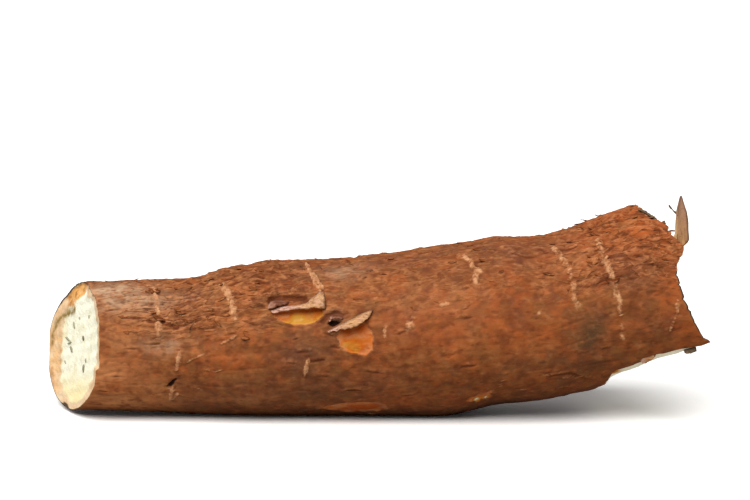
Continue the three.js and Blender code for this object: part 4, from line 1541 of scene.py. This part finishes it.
        # The large lumps are the solid's own.
        lumps = np.sin(0.17 * y + 1.1) * np.cos(0.13 * z)
        lumps += 0.8 * np.sin(0.31 * y - 0.23 * z + 0.7) + 0.5 * np.sin(0.52 * z)
        proud = looked_up(self.proud, degrees) * (1 + 0.3 * self.grain.waves(0.0, degrees / 360, 9, 4, 155))
        x = mix(self.heart[0], rim[:, 0], share**1.6) + self.lumps * lumps * smooth(1.0, 0.6, share)
        x += proud * hump(0.0, 0.25, 1.8, 4.5, off_rim) - 0.6 * smooth(1.0, 0.9, share)
        x += 1.3 * np.mod(2.2 * cloud(13, 9, 3, 130), 1.0) * smooth(0.98, 0.88, share)
        points[..., 0] = x + 1.1 * cloud(7, 6, 4, 140) * smooth(0.985, 0.9, share)
        # Painted shade: on the front the dark husk band is widened along the rim's edge, which turns away there, on top
        # of the husk's own dark colour.
        front = hump(-32, -28, 22, 27, degrees)
        bare = hump(-60, -56, -35, -31, degrees) + hump(24, 30, 50, 54, degrees)
        return points, {
            "rind": np.clip(self.torn_rind - off_rim, -self.rind_reach, self.rind_reach) - 4.0 * bare,
            "husk": np.clip(smooth(0.5, 0.15, off_rim) + smooth(1.2, 0.5, off_rim) * front, 0, 1) * (1 - bare),
            "stale": 0.35 * smooth(0.25, 0.6, cloud(15, 9, 3, 160)) * smooth(0.5, 0.95, share),
            "rot": 0.5 * smooth(0.45, 0.7, cloud(6, 6, 2, 170)),
            "yellow": 0.6 * smooth(0.0, 0.6, cloud(17, 12, 3, 180)),
        }

    def build(self, bark_finish: bpy.types.Material) -> Piece:
        """Builds the root's mesh with its masks and its three finishes.

        Args:
            bark_finish: The bark's material.

        Returns:
            The root.
        """
        a = self.angles()
        rim = np.full(a.shape, FORM.cut_x)
        for _ in range(self.rim_rounds):
            p = FORM.skin(rim, a, RELIEF.at(rim, a)["height"])
            rim = FORM.cut_at(p[:, 1], p[:, 2]) + self.rim_chipped * self.chipped(np.degrees(a))
            rim += looked_up(self.rim_shift, np.degrees(a))
        x, angle = self.bark_rows(a, rim)
        bark = RELIEF.at(x, angle)
        rows = FORM.skin(x, angle, bark.pop("height"))
        rows[0, :, 0] = rim
        cut, cut_masks = self.cut_face(a, rows[0])
        torn, torn_masks = self.torn_face(a, rows[-1])
        rings = np.concatenate([cut[::-1], rows, torn])
        ends = [rings[k].mean(axis=0)[None] for k in (0, -1)]
        points = kept_in_box(FORM.placed(np.concatenate([ends[0], rings.reshape(-1, 3), ends[1]])))

        n, final = self.around, len(points) - 1
        ids = np.arange(1, final).reshape(-1, n)
        beside = np.roll(ids, -1, axis=1)
        faces = quads(ids, beside)
        faces += [(0, *pair) for pair in zip(ids[0], beside[0])] + [(final, *pair) for pair in zip(beside[-1], ids[-1])]
        root = piece_from("cassava_root_dressed", points, faces)
        slots = np.repeat((1, 0, 2, 1, 2), np.array((len(cut), len(rows) - 1, len(torn), 1, 1)) * n)
        root.data.polygons.foreach_set("material_index", slots.astype(np.int32))

        off_bark = 1 + len(cut) * n, len(torn) * n + 1
        for name, values in (bark | STAINS_AND_SHADE.at(x, angle)).items():
            away = -WINDOW_REACH if name == "window" else 0.0
            write_mask(root, name, np.pad(values.ravel(), off_bark, constant_values=away))
        for name, at_cut in cut_masks.items():
            on_bark = np.full(x.shape, {"rind": 4.0, "husk": 1.0}.get(name, 0.0))
            on_bark[-1] = torn_masks[name][0]
            values = np.concatenate([at_cut[::-1], on_bark, torn_masks[name]])
            write_mask(root, name, np.array([values[0].mean(), *values.ravel(), values[-1].mean()]))
        torn_flesh = FleshFinish("torn_flesh", flesh=(252, 244, 220), shade=(236, 218, 178))
        for material in (bark_finish, FleshFinish("cut_flesh").material(), torn_flesh.material()):
            root.data.materials.append(material)
        return root


@dataclass(frozen=True)
class BarkCurl:
    """A flap of bark over a torn window: two edges in x and degrees, the free one standing off the skin."""

    name: str
    held: Line
    free: Line
    stand: tuple[float, ...]
    thick: float = 0.75
    along: int = 44
    across: int = 12
    curled: float = 0.62
    sunk: float = 0.25
    ragged: float = 1.6
    wavy: float = 0.3
    grain: Grain = Grain(500)

    def build(self) -> Piece:
        """Builds the flap.

        Returns:
            The flap as a closed mesh.
        """
        u, v = np.linspace(0, 1, self.along + 1)[:, None], np.linspace(0, 1, self.across + 1)

        def along(row: Sequence[float]) -> Array:
            """A row of numbers spread evenly along the flap."""
            return np.interp(u, np.linspace(0, 1, len(row)), row)

        (held_x, held_d), (free_x, free_d) = (map(along, zip(*line)) for line in (self.held, self.free))
        x, degrees = mix(held_x, free_x, v), mix(held_d, free_d, v)
        degrees += self.ragged * self.grain.cloud(x, degrees / 360, 2.6, 1.6, 3, 7) * v**2
        lift = along(self.stand) * np.sin(v * math.pi * self.curled) ** 1.1 - self.sunk * (1 - v)
        lift += self.wavy * self.grain.cloud(x, degrees / 360, 3.5, 1.5, 3, 11)
        half = self.thick * np.sin(math.pi * np.clip(u, 0.02, 0.98)) ** 0.35 * mix(1.0, 0.7, v) / 2
        levels = (lift + half, lift - half)
        points = np.concatenate([FORM.skin(x, np.radians(degrees), level).reshape(-1, 3) for level in levels])
        tip, start = (np.tile(np.broadcast_to(k, x.shape).ravel(), 2) for k in (v, 1 - u))
        return closed_piece(self.name, FORM.placed(points), sheet_faces(*x.shape), tip=tip, start=start)


@dataclass(frozen=True)
class CurlFinish:
    """The pale inner and torn side of a curl of bark.

    The mesh carries "tip", from 0 where it is held to 1 where it is free, and "start", 1 at its left end.
    """

    name: str = "curled_bark"
    pale: Colour = (212, 164, 118)
    tan: Colour = (170, 118, 78)
    pink: Colour = (206, 160, 142)
    dark: Colour = (78, 40, 24)

    def material(self) -> bpy.types.Material:
        """Builds the material.

        Returns:
            The curl's material.
        """
        f = Finish(self.name, 0.8, 0.2)
        s = f.s
        streak = f.fibres(8, 1.1)
        fine = f.fibres(2.0, 0.7, offset=5.0)
        patches = f.fibres(3.0, 2.0, 0.34, 0.66, offset=11.0)
        colour = s.coats(
            s.blend(streak, self.tan, self.pale),
            (s.step(patches, 0.55, 0.95, 0.0, 0.5), self.pink),
            # The pink at the left end is partly a painted highlight.
            (s.step(s.attribute("start"), 0.55, 0.85, 0.0, 0.85), self.pink),
            (s.step(s.attribute("start"), 0.12, 0.0, 0.0, 0.85), self.dark),
            (s.step(s.attribute("tip"), 0.3, 0.0, 0.0, 0.7), self.dark),
            (s.step(fine, 0.56, 0.9, 0.0, 0.7), self.dark),
        )
        return f.done(colour, (streak, 0.5), (fine, 0.3))


@dataclass(frozen=True)
class Splinter:
    """The shard of wood and bark that stands up at the torn end, as rows of z, left x and right x.

    Its dry thread, which sticks out to the left, has rows of x, z and radius.
    """

    rows: tuple[Point3, ...] = (
        (73, 125.4, 129.6), (76.5, 126.8, 131), (78, 126.6, 132.6), (79.2, 126.4, 133.3), (82, 127, 133.3),
        (86.3, 127.5, 133), (91, 127.8, 132.4), (95.5, 128.7, 130.8), (96.8, 129, 130.4), (97.6, 129.3, 130.2),
    )
    thread: tuple[Point3, ...] = (
        (128.6, 89, 0.6), (127.8, 90.4, 0.75), (126.9, 91, 0.5), (126, 92.2, 0.45), (125.3, 92.9, 0.8),
        (124.6, 93.6, 0.6),
    )
    thread_sides: int = 6
    thread_back: float = 0.65
    y: float = -20.5
    lean: float = 0.08
    thick: float = 1.6
    bow: float = 1.1
    up: int = 44
    around: int = 20
    grain: Grain = Grain(640)

    def build(self) -> Piece:
        """Builds the shard.

        Returns:
            The shard and its thread as one piece of two closed meshes.
        """
        rows, around = np.array(self.rows), self.around
        foot, top = rows[0, 0], rows[-1, 0]
        z, turn = np.linspace(foot, top, self.up + 1)[:, None], np.arange(around) / around
        left, right = (np.interp(z, rows[:, 0], rows[:, k]) for k in (1, 2))
        wave = 0.25 * self.grain.waves(z, turn, 5, 30, 2) + 0.2 * self.grain.waves(z, turn, 14, 16, 5)
        half = (right - left) / 2
        x = (left + right) / 2 + half * (1 + wave * 0.35) * np.cos(TURN * turn)
        bow = self.bow * np.cos((x - left) / (2 * half) * math.pi - math.pi / 2)
        deep = self.thick * mix(0.55, 0.2, (z - foot) / (top - foot))
        y = self.y + self.lean * (z - foot) + bow + deep * np.sin(TURN * turn) * (1 + wave)
        shard = np.stack(np.broadcast_arrays(x, y, z), axis=-1)
        ends = shard[0].mean(axis=0)[None], shard[-1].mean(axis=0)[None] + np.array([0, 0, 0.1])
        spin = np.arange(self.thread_sides) / self.thread_sides * TURN
        ring = np.stack([np.zeros(self.thread_sides), np.cos(spin), np.sin(spin)], axis=-1)
        back = self.y + self.thread_back
        thread = [(tx, back + self.lean * (tz - foot), tz) + radius * ring for tx, tz, radius in self.thread]
        points = FORM.placed(np.concatenate([ends[0], shard.reshape(-1, 3), ends[1], *thread]))

        ids = 1 + np.arange(shard.size // 3).reshape(-1, around)
        beside, final = np.roll(ids, -1, axis=1), shard.size // 3 + 1
        faces = quads(ids, beside) + [(0, *pair) for pair in zip(beside[0], ids[0])]
        faces += [(final, *pair) for pair in zip(ids[-1], beside[-1])]
        faces += tube_faces(len(self.thread), self.thread_sides, final + 1)
        height = points[:, 2] / MM
        near, far = (np.interp(height, rows[:, 0], rows[:, k]) for k in (1, 2))
        side = (points[:, 0] / MM - FORM.shift_x - near) / (far - near)
        side[final + 1 :] = 1.0
        return closed_piece("splinter", points, faces, tip=(height - foot) / (top - foot), side=side)


@dataclass(frozen=True)
class SplinterFinish:
    """Dry tan wood with a dark grain."""

    low: Colour = (172, 126, 78)
    high: Colour = (150, 114, 94)
    pale: Colour = (214, 180, 132)
    dark: Colour = (80, 52, 36)
    grain_size: Point3 = (0.9, 0.9, 9.0)

    def material(self) -> bpy.types.Material:
        """Builds the material.

        Returns:
            The shard's material.
        """
        f = Finish("splinter_wood", 0.75, 0.2)
        s = f.s
        turned = s.node("ShaderNodeMapping", None, f.coordinates, Scale=[1 / (k * MM) for k in self.grain_size])
        streak = s.node("ShaderNodeTexNoise", None, Vector=turned.outputs[0], Scale=1.0, Detail=3.0).outputs["Fac"]
        side, tip = s.attribute("side"), s.attribute("tip")
        colour = s.coats(
            s.blend(tip, self.low, self.high),
            (s.times(s.step(side, 0.3, 0.05), s.step(tip, 0.75, 0.3), 0.7), self.pale),
            (s.step(streak, 0.5, 0.72, 0.0, 0.7), self.dark),
            (s.step(side, 0.78, 0.98, 0.0, 0.8), self.dark),
        )
        return f.done(colour, (streak, 0.5), (f.fibres(0.8, 0.8, detail=2.0), 0.12))


@dataclass(frozen=True)
class FleshSpecks:
    """Dark ends of old fibre bundles in the cut face.

    Each has y, z, half length and half width in millimetres, lean in degrees, and how dark it is.
    """

    places: Rows = (
        (-6, 34, 1.2, 1, 80, 1), (5.4, 37.6, 1.8, 0.6, 50, 0.25), (10, 30.4, 3.4, 0.5, 8, 0.3),
        (7.6, 29.2, 2.4, 0.4, -20, 0.25), (5.2, 26.8, 2.6, 0.7, 28, 0.5), (-11.5, 25.2, 1.1, 0.7, 70, 0.3),
        (-10, 21.4, 1.8, 0.9, 85, 0.6), (9.9, 20.2, 1.2, 0.4, 30, 0.2), (-9.4, 44, 0.8, 0.25, 70, 0.2),
        (0.4, 41.6, 0.7, 0.2, 65, 0.2),
    )
    depth: float = 1.0
    dome: float = 0.16
    face_middle: float = 28.6
    face_radius: float = 28.0
    face_dishing: float = 0.8
    sunk: float = 0.35
    around: int = 10
    seed: int = 12

    def build(self) -> Piece:
        """Builds all specks as one piece that is sunk in the cut face.

        Returns:
            The specks, each a closed flattened lump.
        """
        draw = np.random.default_rng(self.seed)
        slope = np.array([1.0, -FORM.cut_slant_y, -FORM.cut_slant_z])
        normal = -slope / np.linalg.norm(slope)
        side = np.cross(normal, (0, 0, 1))
        side /= np.linalg.norm(side)
        up = np.cross(side, normal)
        spin = np.arange(self.around)[:, None] / self.around * TURN
        points, faces, shades = [], [], []
        for y, z, half_long, half_wide, lean, darkness in self.places:
            out = math.hypot(y, z - self.face_middle) / self.face_radius
            middle = np.array([float(FORM.cut_at(y, z)) + self.face_dishing * (1 - out**4) - self.sunk, y, z])
            lengthways = math.cos(math.radians(lean)) * side + math.sin(math.radians(lean)) * up
            crossways = np.cross(normal, lengthways)
            faces += tube_faces(3, self.around, len(shades))
            shades += [darkness] * (3 * self.around)
            for ring, lift in ((1.0, -self.depth), (1.0, 0.0), (0.6, self.dome)):
                reach = ring * draw.uniform(0.75, 1.15, (self.around, 1))
                across = half_long * np.cos(spin) * lengthways + half_wide * np.sin(spin) * crossways
                points.append(middle + reach * across + lift * normal)
        return closed_piece("flesh_specks", FORM.placed(np.concatenate(points)), faces, tip=np.array(shades))


@dataclass(frozen=True)
class SpeckFinish:
    """Olive-grey dried fibre ends."""

    pale: Colour = (168, 164, 138)
    dark: Colour = (78, 70, 52)

    def material(self) -> bpy.types.Material:
        """Builds the material.

        Returns:
            The specks' material.
        """
        f = Finish("dried_fibre_ends", 0.7, 0.2)
        shade = f.s.blend(f.s.attribute("tip"), self.pale, self.dark)
        colour = f.s.blend(f.s.times(f.fibres(2.4, 2.4, 0.35, 0.65), 0.4), shade, self.pale)
        return f.done(colour, (f.fibres(0.6, 0.6), 0.15))


@dataclass(frozen=True)
class Strewn:
    """Small things strewn over the bark by Geometry Nodes, more of them where the mask is high."""

    name: str
    per_square_metre: float
    seed: int
    smallest: Point3
    largest: Point3
    pitch: float
    yaw: float
    sunk: float
    mask: str = "flaky"
    roll: float = 0.35
    turn_seed: int = 3
    size_seed: int = 5
    shake_scale: float = 420.0
    shake: float = 1.4

    def unit(self) -> Piece:
        """The shape that is repeated."""
        raise NotImplementedError

    def inputs(self, unit: Piece) -> dict[str, tuple[str, object]]:
        """The tree's inputs for a shape.

        Args:
            unit: The shape that is repeated.

        Returns:
            Each input's kind and value, by its name.
        """
        return {
            "Shape": ("Object", unit),
            "Per Square Metre": ("Float", self.per_square_metre),
            "Seed": ("Int", self.seed),
            "Smallest": ("Vector", self.smallest),
            "Largest": ("Vector", self.largest),
            "Pitch": ("Float", self.pitch),
            "Yaw": ("Float", self.yaw),
            "Sunk": ("Float", -self.sunk * MM),
        }

    def tree(self, inputs: dict[str, tuple[str, object]], finish: bpy.types.Material) -> bpy.types.NodeTree:
        """Builds the Geometry Nodes tree.

        Args:
            inputs: Its inputs.
            finish: The shapes' material.

        Returns:
            The tree.
        """
        tree = bpy.data.node_groups.new(self.name, "GeometryNodeTree")
        new = tree.interface.new_socket
        new(name="Bark", in_out="INPUT", socket_type="NodeSocketGeometry")
        for label, (kind, _) in inputs.items():
            new(name=label, in_out="INPUT", socket_type=f"NodeSocket{kind}")
        new(name="Strewn", in_out="OUTPUT", socket_type="NodeSocketGeometry")
        s = Sketch(tree)
        start = s.node("NodeGroupInput", None).outputs
        where = s.node("GeometryNodeInputNamedAttribute", {"data_type": "FLOAT"}, Name=self.mask).outputs[0]
        dense = s.times(where, start["Per Square Metre"])
        by_chance = {"distribute_method": "RANDOM"}
        spread = {"Mesh": start["Bark"], "Density": dense, "Seed": start["Seed"]}
        points = s.node("GeometryNodeDistributePointsOnFaces", by_chance, **spread).outputs
        aligned, vectors = "FunctionNodeAlignRotationToVector", {"data_type": "FLOAT_VECTOR"}
        along = s.node(aligned, {"axis": "X"}, Vector=(1.0, 0.0, 0.0)).outputs[0]
        on_skin = {"Rotation": along, "Vector": points["Normal"]}
        upright = s.node(aligned, {"axis": "Z", "pivot_axis": "X"}, **on_skin).outputs[0]
        most = s.node("ShaderNodeCombineXYZ", None, start["Pitch"], self.roll, start["Yaw"]).outputs[0]
        least = s.vector("SCALE", most, Scale=-1.0)
        turn = s.node("FunctionNodeRandomValue", vectors, least, most, Seed=self.turn_seed).outputs[0]
        turn = s.node("FunctionNodeEulerToRotation", None, turn).outputs[0]
        tilted = s.node("FunctionNodeRotateRotation", {"rotation_space": "LOCAL"}, upright, turn).outputs[0]
        sizes = start["Smallest"], start["Largest"]
        size = s.node("FunctionNodeRandomValue", vectors, *sizes, Seed=self.size_seed).outputs[0]
        shape = s.node("GeometryNodeObjectInfo", None, Object=start["Shape"]).outputs["Geometry"]
        inward = s.vector("SCALE", points["Normal"], Scale=start["Sunk"])
        made = s.node("GeometryNodeSetPosition", None, Geometry=points["Points"], Offset=inward).outputs[0]
        copies = {"Points": made, "Instance": shape, "Rotation": tilted, "Scale": size}
        made = s.node("GeometryNodeInstanceOnPoints", None, **copies).outputs[0]
        made = s.node("GeometryNodeRealizeInstances", None, Geometry=made).outputs[0]
        noise = s.node("ShaderNodeTexNoise", None, Scale=self.shake_scale, Detail=1.0).outputs["Color"]
        shake = s.vector("SCALE", s.vector("SUBTRACT", noise, (0.5, 0.5, 0.5)), Scale=self.shake * MM)
        made = s.node("GeometryNodeSetPosition", None, Geometry=made, Offset=shake).outputs[0]
        made = s.node("GeometryNodeSetMaterial", None, Geometry=made, Material=finish).outputs[0]
        s.node("NodeGroupOutput", None, Strewn=made)
        return tree

    def build(self, root: Piece, finish: bpy.types.Material) -> Piece:
        """Strews the shapes over the bark.

        Args:
            root: The dressed root.
            finish: The shapes' material.

        Returns:
            All of them as one plain mesh.
        """
        unit = self.unit()
        host = linked(self.name + "_host", root.data.copy())
        inputs = self.inputs(unit)
        modifier = host.modifiers.new(self.name, "NODES")
        modifier.node_group = self.tree(inputs, finish)
        for item in modifier.node_group.interface.items_tree:
            if item.in_out == "INPUT" and item.name in inputs:
                modifier[item.identifier] = inputs[item.name][1]
        bpy.context.view_layer.update()
        seen = host.evaluated_get(bpy.context.evaluated_depsgraph_get())
        mesh = bpy.data.meshes.new_from_object(seen)
        mesh.name = self.name
        host.modifiers.clear()
        for spare in (host, unit):
            bpy.data.objects.remove(spare)
        points = np.zeros(len(mesh.vertices) * 3, np.float32)
        mesh.vertices.foreach_get("co", points)
        mesh.vertices.foreach_set("co", kept_in_box(points.reshape(-1, 3)).astype(np.float32).ravel())
        mesh.update()
        return linked(self.name, mesh)


@dataclass(frozen=True)
class BarkFlakes(Strewn):
    """Thin curled scales of bark whose free edge stands off the skin."""

    half_long: float = 2.1
    high: float = 1.8
    curl: float = 0.75
    half_thick: float = 0.22

    def unit(self) -> Piece:
        """A closed curled scale about 4 mm long and 1.8 mm high, held along its upper edge.

        Returns:
            The scale.
        """
        u, v = np.linspace(-1, 1, 6)[:, None], np.linspace(0, 1, 5)
        wide = self.half_long * np.sqrt(np.clip(1 - (0.85 * (v * 1.15 - 0.25)) ** 4, 0.05, 1)) * mix(1.0, 0.72, v)
        x = u * wide + 0.35 * v
        y = self.high / 2 - self.high * v * (1 - 0.25 * u**2)
        z = self.curl * v**1.5 * (1 - 0.4 * u**2) - 0.15
        thick = self.half_thick * (1 - 0.35 * v)
        points = np.concatenate([np.stack([x, y, level], axis=-1).reshape(-1, 3) for level in (z + thick, z - thick)])
        return closed_piece("flake_unit", points * MM, sheet_faces(*x.shape), tip=np.tile(v, 2 * len(u)))


@dataclass(frozen=True)
class HairRoots(Strewn):
    """Fine dry rootlets and bast fibres that lie along the bark."""

    long: float = 5.0
    radius: float = 0.16
    bend: float = 0.5
    arch: float = 0.3

    def unit(self) -> Piece:
        """A closed bent fibre about 5 mm long.

        Returns:
            The fibre.
        """
        t, spin = np.linspace(0, 1, 7)[:, None], np.arange(4) / 4 * TURN
        radius = self.radius * (1 - 0.6 * (2 * t - 1) ** 2)
        x, y = self.long * (t - 0.5), self.bend * np.sin(3 * t)
        z = self.radius + self.arch * np.sin(math.pi * t)
        points = np.stack(np.broadcast_arrays(x, y + radius * np.cos(spin), z + radius * np.sin(spin)), axis=-1)
        tip = np.full(points.size // 3, 0.3)
        return closed_piece("fibre_unit", points.reshape(-1, 3) * MM, tube_faces(7, 4), tip=tip)


@dataclass(frozen=True)
class FlakeFinish:
    """Bark of a loose flake, paler towards its free edge."""

    brown: Colour = (134, 76, 38)
    deep: Colour = (96, 46, 20)
    pale: Colour = (182, 126, 86)

    def material(self) -> bpy.types.Material:
        """Builds the material.

        Returns:
            The flakes' material.
        """
        f = Finish("flake_bark", 0.85, 0.05)
        s = f.s
        fine = f.fibres(2.2, 0.9, offset=9.0)
        colour = s.blend(s.step(f.fibres(13, 6), 0.1, 0.9), self.deep, self.brown)
        edge = s.times(s.step(s.attribute("tip"), 0.35, 1.0), s.step(fine, 0.2, 0.8), 0.75)
        return f.done(s.blend(edge, colour, self.pale), (fine, 0.2))


@dataclass(frozen=True)
class Studio:
    """The pale floor, the soft light and the camera at the photograph's viewing angle."""

    elevation: float = 9.0
    distance: float = 1100.0
    lens: float = 122.0
    sensor: float = 36.0
    clip: tuple[float, float] = (0.05, 100.0)
    aim_height: float = 71.6
    floor_size: float = 14.0
    floor_bounce: Colour = (176, 174, 170)
    floor_seen: float = 1.17
    sky: float = 0.32
    sun: float = 4.05
    sun_width: float = 55.0
    sun_colour: Point3 = (1.0, 0.98, 0.95)
    sun_path: Point3 = (0.25, 0.53, -0.83)

    @staticmethod
    def pointed(name: str, data: bpy.types.ID, path: Vector) -> Piece:
        """A camera or lamp in the scene that looks along a path.

        Args:
            name: Its name.
            data: The camera or lamp.
            path: The way it looks.

        Returns:
            The object.
        """
        made = linked(name, data)
        made.rotation_mode = "QUATERNION"
        made.rotation_quaternion = path.to_track_quat("-Z", "Y")
        return made

    def camera(self) -> None:
        """Places the camera."""
        data = bpy.data.cameras.new("camera")
        data.lens, data.sensor_width = self.lens, self.sensor
        data.clip_start, data.clip_end = self.clip
        tilt = math.radians(self.elevation)
        back = Vector((0, -math.cos(tilt), math.sin(tilt)))
        eye = self.pointed("camera", data, -back)
        eye.location = (Vector((FORM.shift_x, FORM.shift_y, self.aim_height)) + back * self.distance) * MM
        bpy.context.scene.camera = eye

    def light(self) -> None:
        """Sets a white sky and one wide soft light from above the left front."""
        world = bpy.data.worlds.new("sky")
        world.use_nodes = True
        background = world.node_tree.nodes["Background"]
        background.inputs["Color"].default_value = (1.0, 1.0, 1.0, 1.0)
        background.inputs["Strength"].default_value = self.sky
        bpy.context.scene.world = world
        lamp = bpy.data.lights.new("overhead", "SUN")
        lamp.energy, lamp.angle, lamp.color = self.sun, math.radians(self.sun_width), self.sun_colour
        self.pointed("overhead", lamp, Vector(self.sun_path))
        view = bpy.context.scene.view_settings
        view.view_transform, view.look = "Standard", "None"

    def floor(self) -> None:
        """Lays the floor."""
        half = self.floor_size / 2
        corners = np.array([(-half, -half, 0), (half, -half, 0), (half, half, 0), (-half, half, 0)])
        ground = piece_from("floor", corners, [(0, 1, 2, 3)])
        f = Finish("floor_white", 0.6, 0.2)
        direct = f.s.node("ShaderNodeLightPath", None).outputs["Is Camera Ray"]
        seen = (*[self.floor_seen] * 3, 1.0)
        f.s.feed(f.shader.inputs["Base Color"], f.s.blend(direct, self.floor_bounce, seen))
        ground.data.materials.append(f.material)


PALE_CURLS = (
    BarkCurl("curl_over_left_window", held=((-44, 32.2), (-39.8, 34.8), (-36, 35.2), (-31.5, 35.8), (-28.5, 37.5),
        (-27.3, 41), (-25, 44), (-23.5, 47.5), (-21.5, 45), (-20.6, 37)), free=((-43.6, 29.6), (-39.8, 30.2),
        (-36, 30.6), (-31.5, 31.2), (-28.5, 31.4), (-27, 31.4), (-25, 31.4), (-23.3, 31.2), (-21.8, 31),
        (-20.8, 31.4)), stand=(0.4, 1.3, 1.8, 2, 2.2, 2.3, 2.4, 2.4, 2, 0.9)),
    BarkCurl("curl_over_right_window", held=((-20, 15.6), (-18.2, 16.8), (-15, 19.4), (-11.8, 22), (-8, 25),
        (-4, 27.6), (-0.8, 29)), free=((-19.6, 14.2), (-16.8, 14.8), (-13.4, 15.6), (-9.8, 16.4), (-6.2, 18),
        (-3.2, 21.6), (-1, 27.2)), stand=(0.6, 1.6, 2.6, 2.8, 2.6, 1.9, 0.7)),
    BarkCurl("scrap_under_tongue", held=((112, -36.4), (114.5, -35.8), (119, -35)), free=((113.4, -41),
        (115.6, -39.4), (118.6, -37)), stand=(0.2, 0.9, 0.3)),
)
DUSKY_CURLS = (
    BarkCurl("curl_end_at_left_window", held=((-45.4, 35.6), (-44.4, 38.6), (-42.4, 40), (-39.6, 39.8), (-36.4, 38)),
        free=((-45.2, 33), (-43.6, 32.4), (-41.6, 33.4), (-39.6, 34.6), (-36.8, 36.4)),
        stand=(0.3, 1.5, 2, 1.5, 0.4)),
    BarkCurl("curl_end_at_right_window", held=((-19.8, 23.4), (-19, 25.6), (-17, 26.8), (-14.8, 26), (-13.2, 24)),
        free=((-19.2, 22.2), (-18.2, 23.2), (-16.8, 23.8), (-15.2, 23.2), (-13.8, 22.4)),
        stand=(0.3, 1, 1.2, 0.9, 0.3)),
)
SHADED_CHIPS = (
    BarkCurl("chip_under_tongue", held=((130.8, -34.9), (133.4, -34.6), (136.2, -34.1)), free=((131.2, -36.1),
        (133.8, -36.5), (136.4, -35.6)), stand=(0.9, 1.4, 1), thick=0.8),
    BarkCurl("fringe_on_torn_rim", held=((112.6, 76), (114.8, 72.2), (117.2, 68), (119.6, 64.4)), free=((113.2, 77.4),
        (115.6, 73.8), (118, 69.4), (120.2, 65.6)), stand=(0, 0.3, 0.1, 0.3, 0), thick=0.5),
    BarkCurl("chip_on_torn_rim", held=((122, 63.6), (122.6, 62.4), (123.2, 61.2)), free=((122.6, 65), (123.2, 63.8),
        (123.8, 62.2)), stand=(0.4, 1.2, 0.5), thick=0.6),
)


def main() -> None:
    """Builds the root's pieces and the studio."""
    logging.basicConfig(level=logging.INFO, format="%(name)s %(message)s")
    studio = Studio()
    studio.camera()
    studio.light()
    studio.floor()

    root = RootBody().build(BarkFinish().material())
    curled = CurlFinish().material()
    dusky = CurlFinish("dusky_curled_bark", pale=(150, 96, 70), tan=(92, 48, 32), pink=(186, 136, 114))
    shaded = CurlFinish("shaded_chip_bark", pale=(112, 94, 70), tan=(82, 66, 46), pink=(118, 98, 76), dark=(56, 40, 26))
    for curls, finish in ((PALE_CURLS, curled), (DUSKY_CURLS, dusky.material()), (SHADED_CHIPS, shaded.material())):
        for curl in curls:
            hand_over(curl.build(), finish)
    hand_over(FleshSpecks().build(), SpeckFinish().material())
    hand_over(Splinter().build(), SplinterFinish().material())

    flakes = BarkFlakes("bark_flakes", 13000, 4, (0.5, 0.5, 0.4), (1.7, 1.3, 0.85), pitch=0.2, yaw=0.45, sunk=0.2)
    fibres = HairRoots("hair_roots", 1100, 8, (0.4, 0.7, 0.7), (1.5, 1.2, 1.0), pitch=0.1, yaw=1.4, sunk=0.05)
    hand_over(flakes.build(root, FlakeFinish().material()))
    hand_over(fibres.build(root, curled))

    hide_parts("cassava_root")
    hand_over(root)


if __name__ == "__main__":
    main()
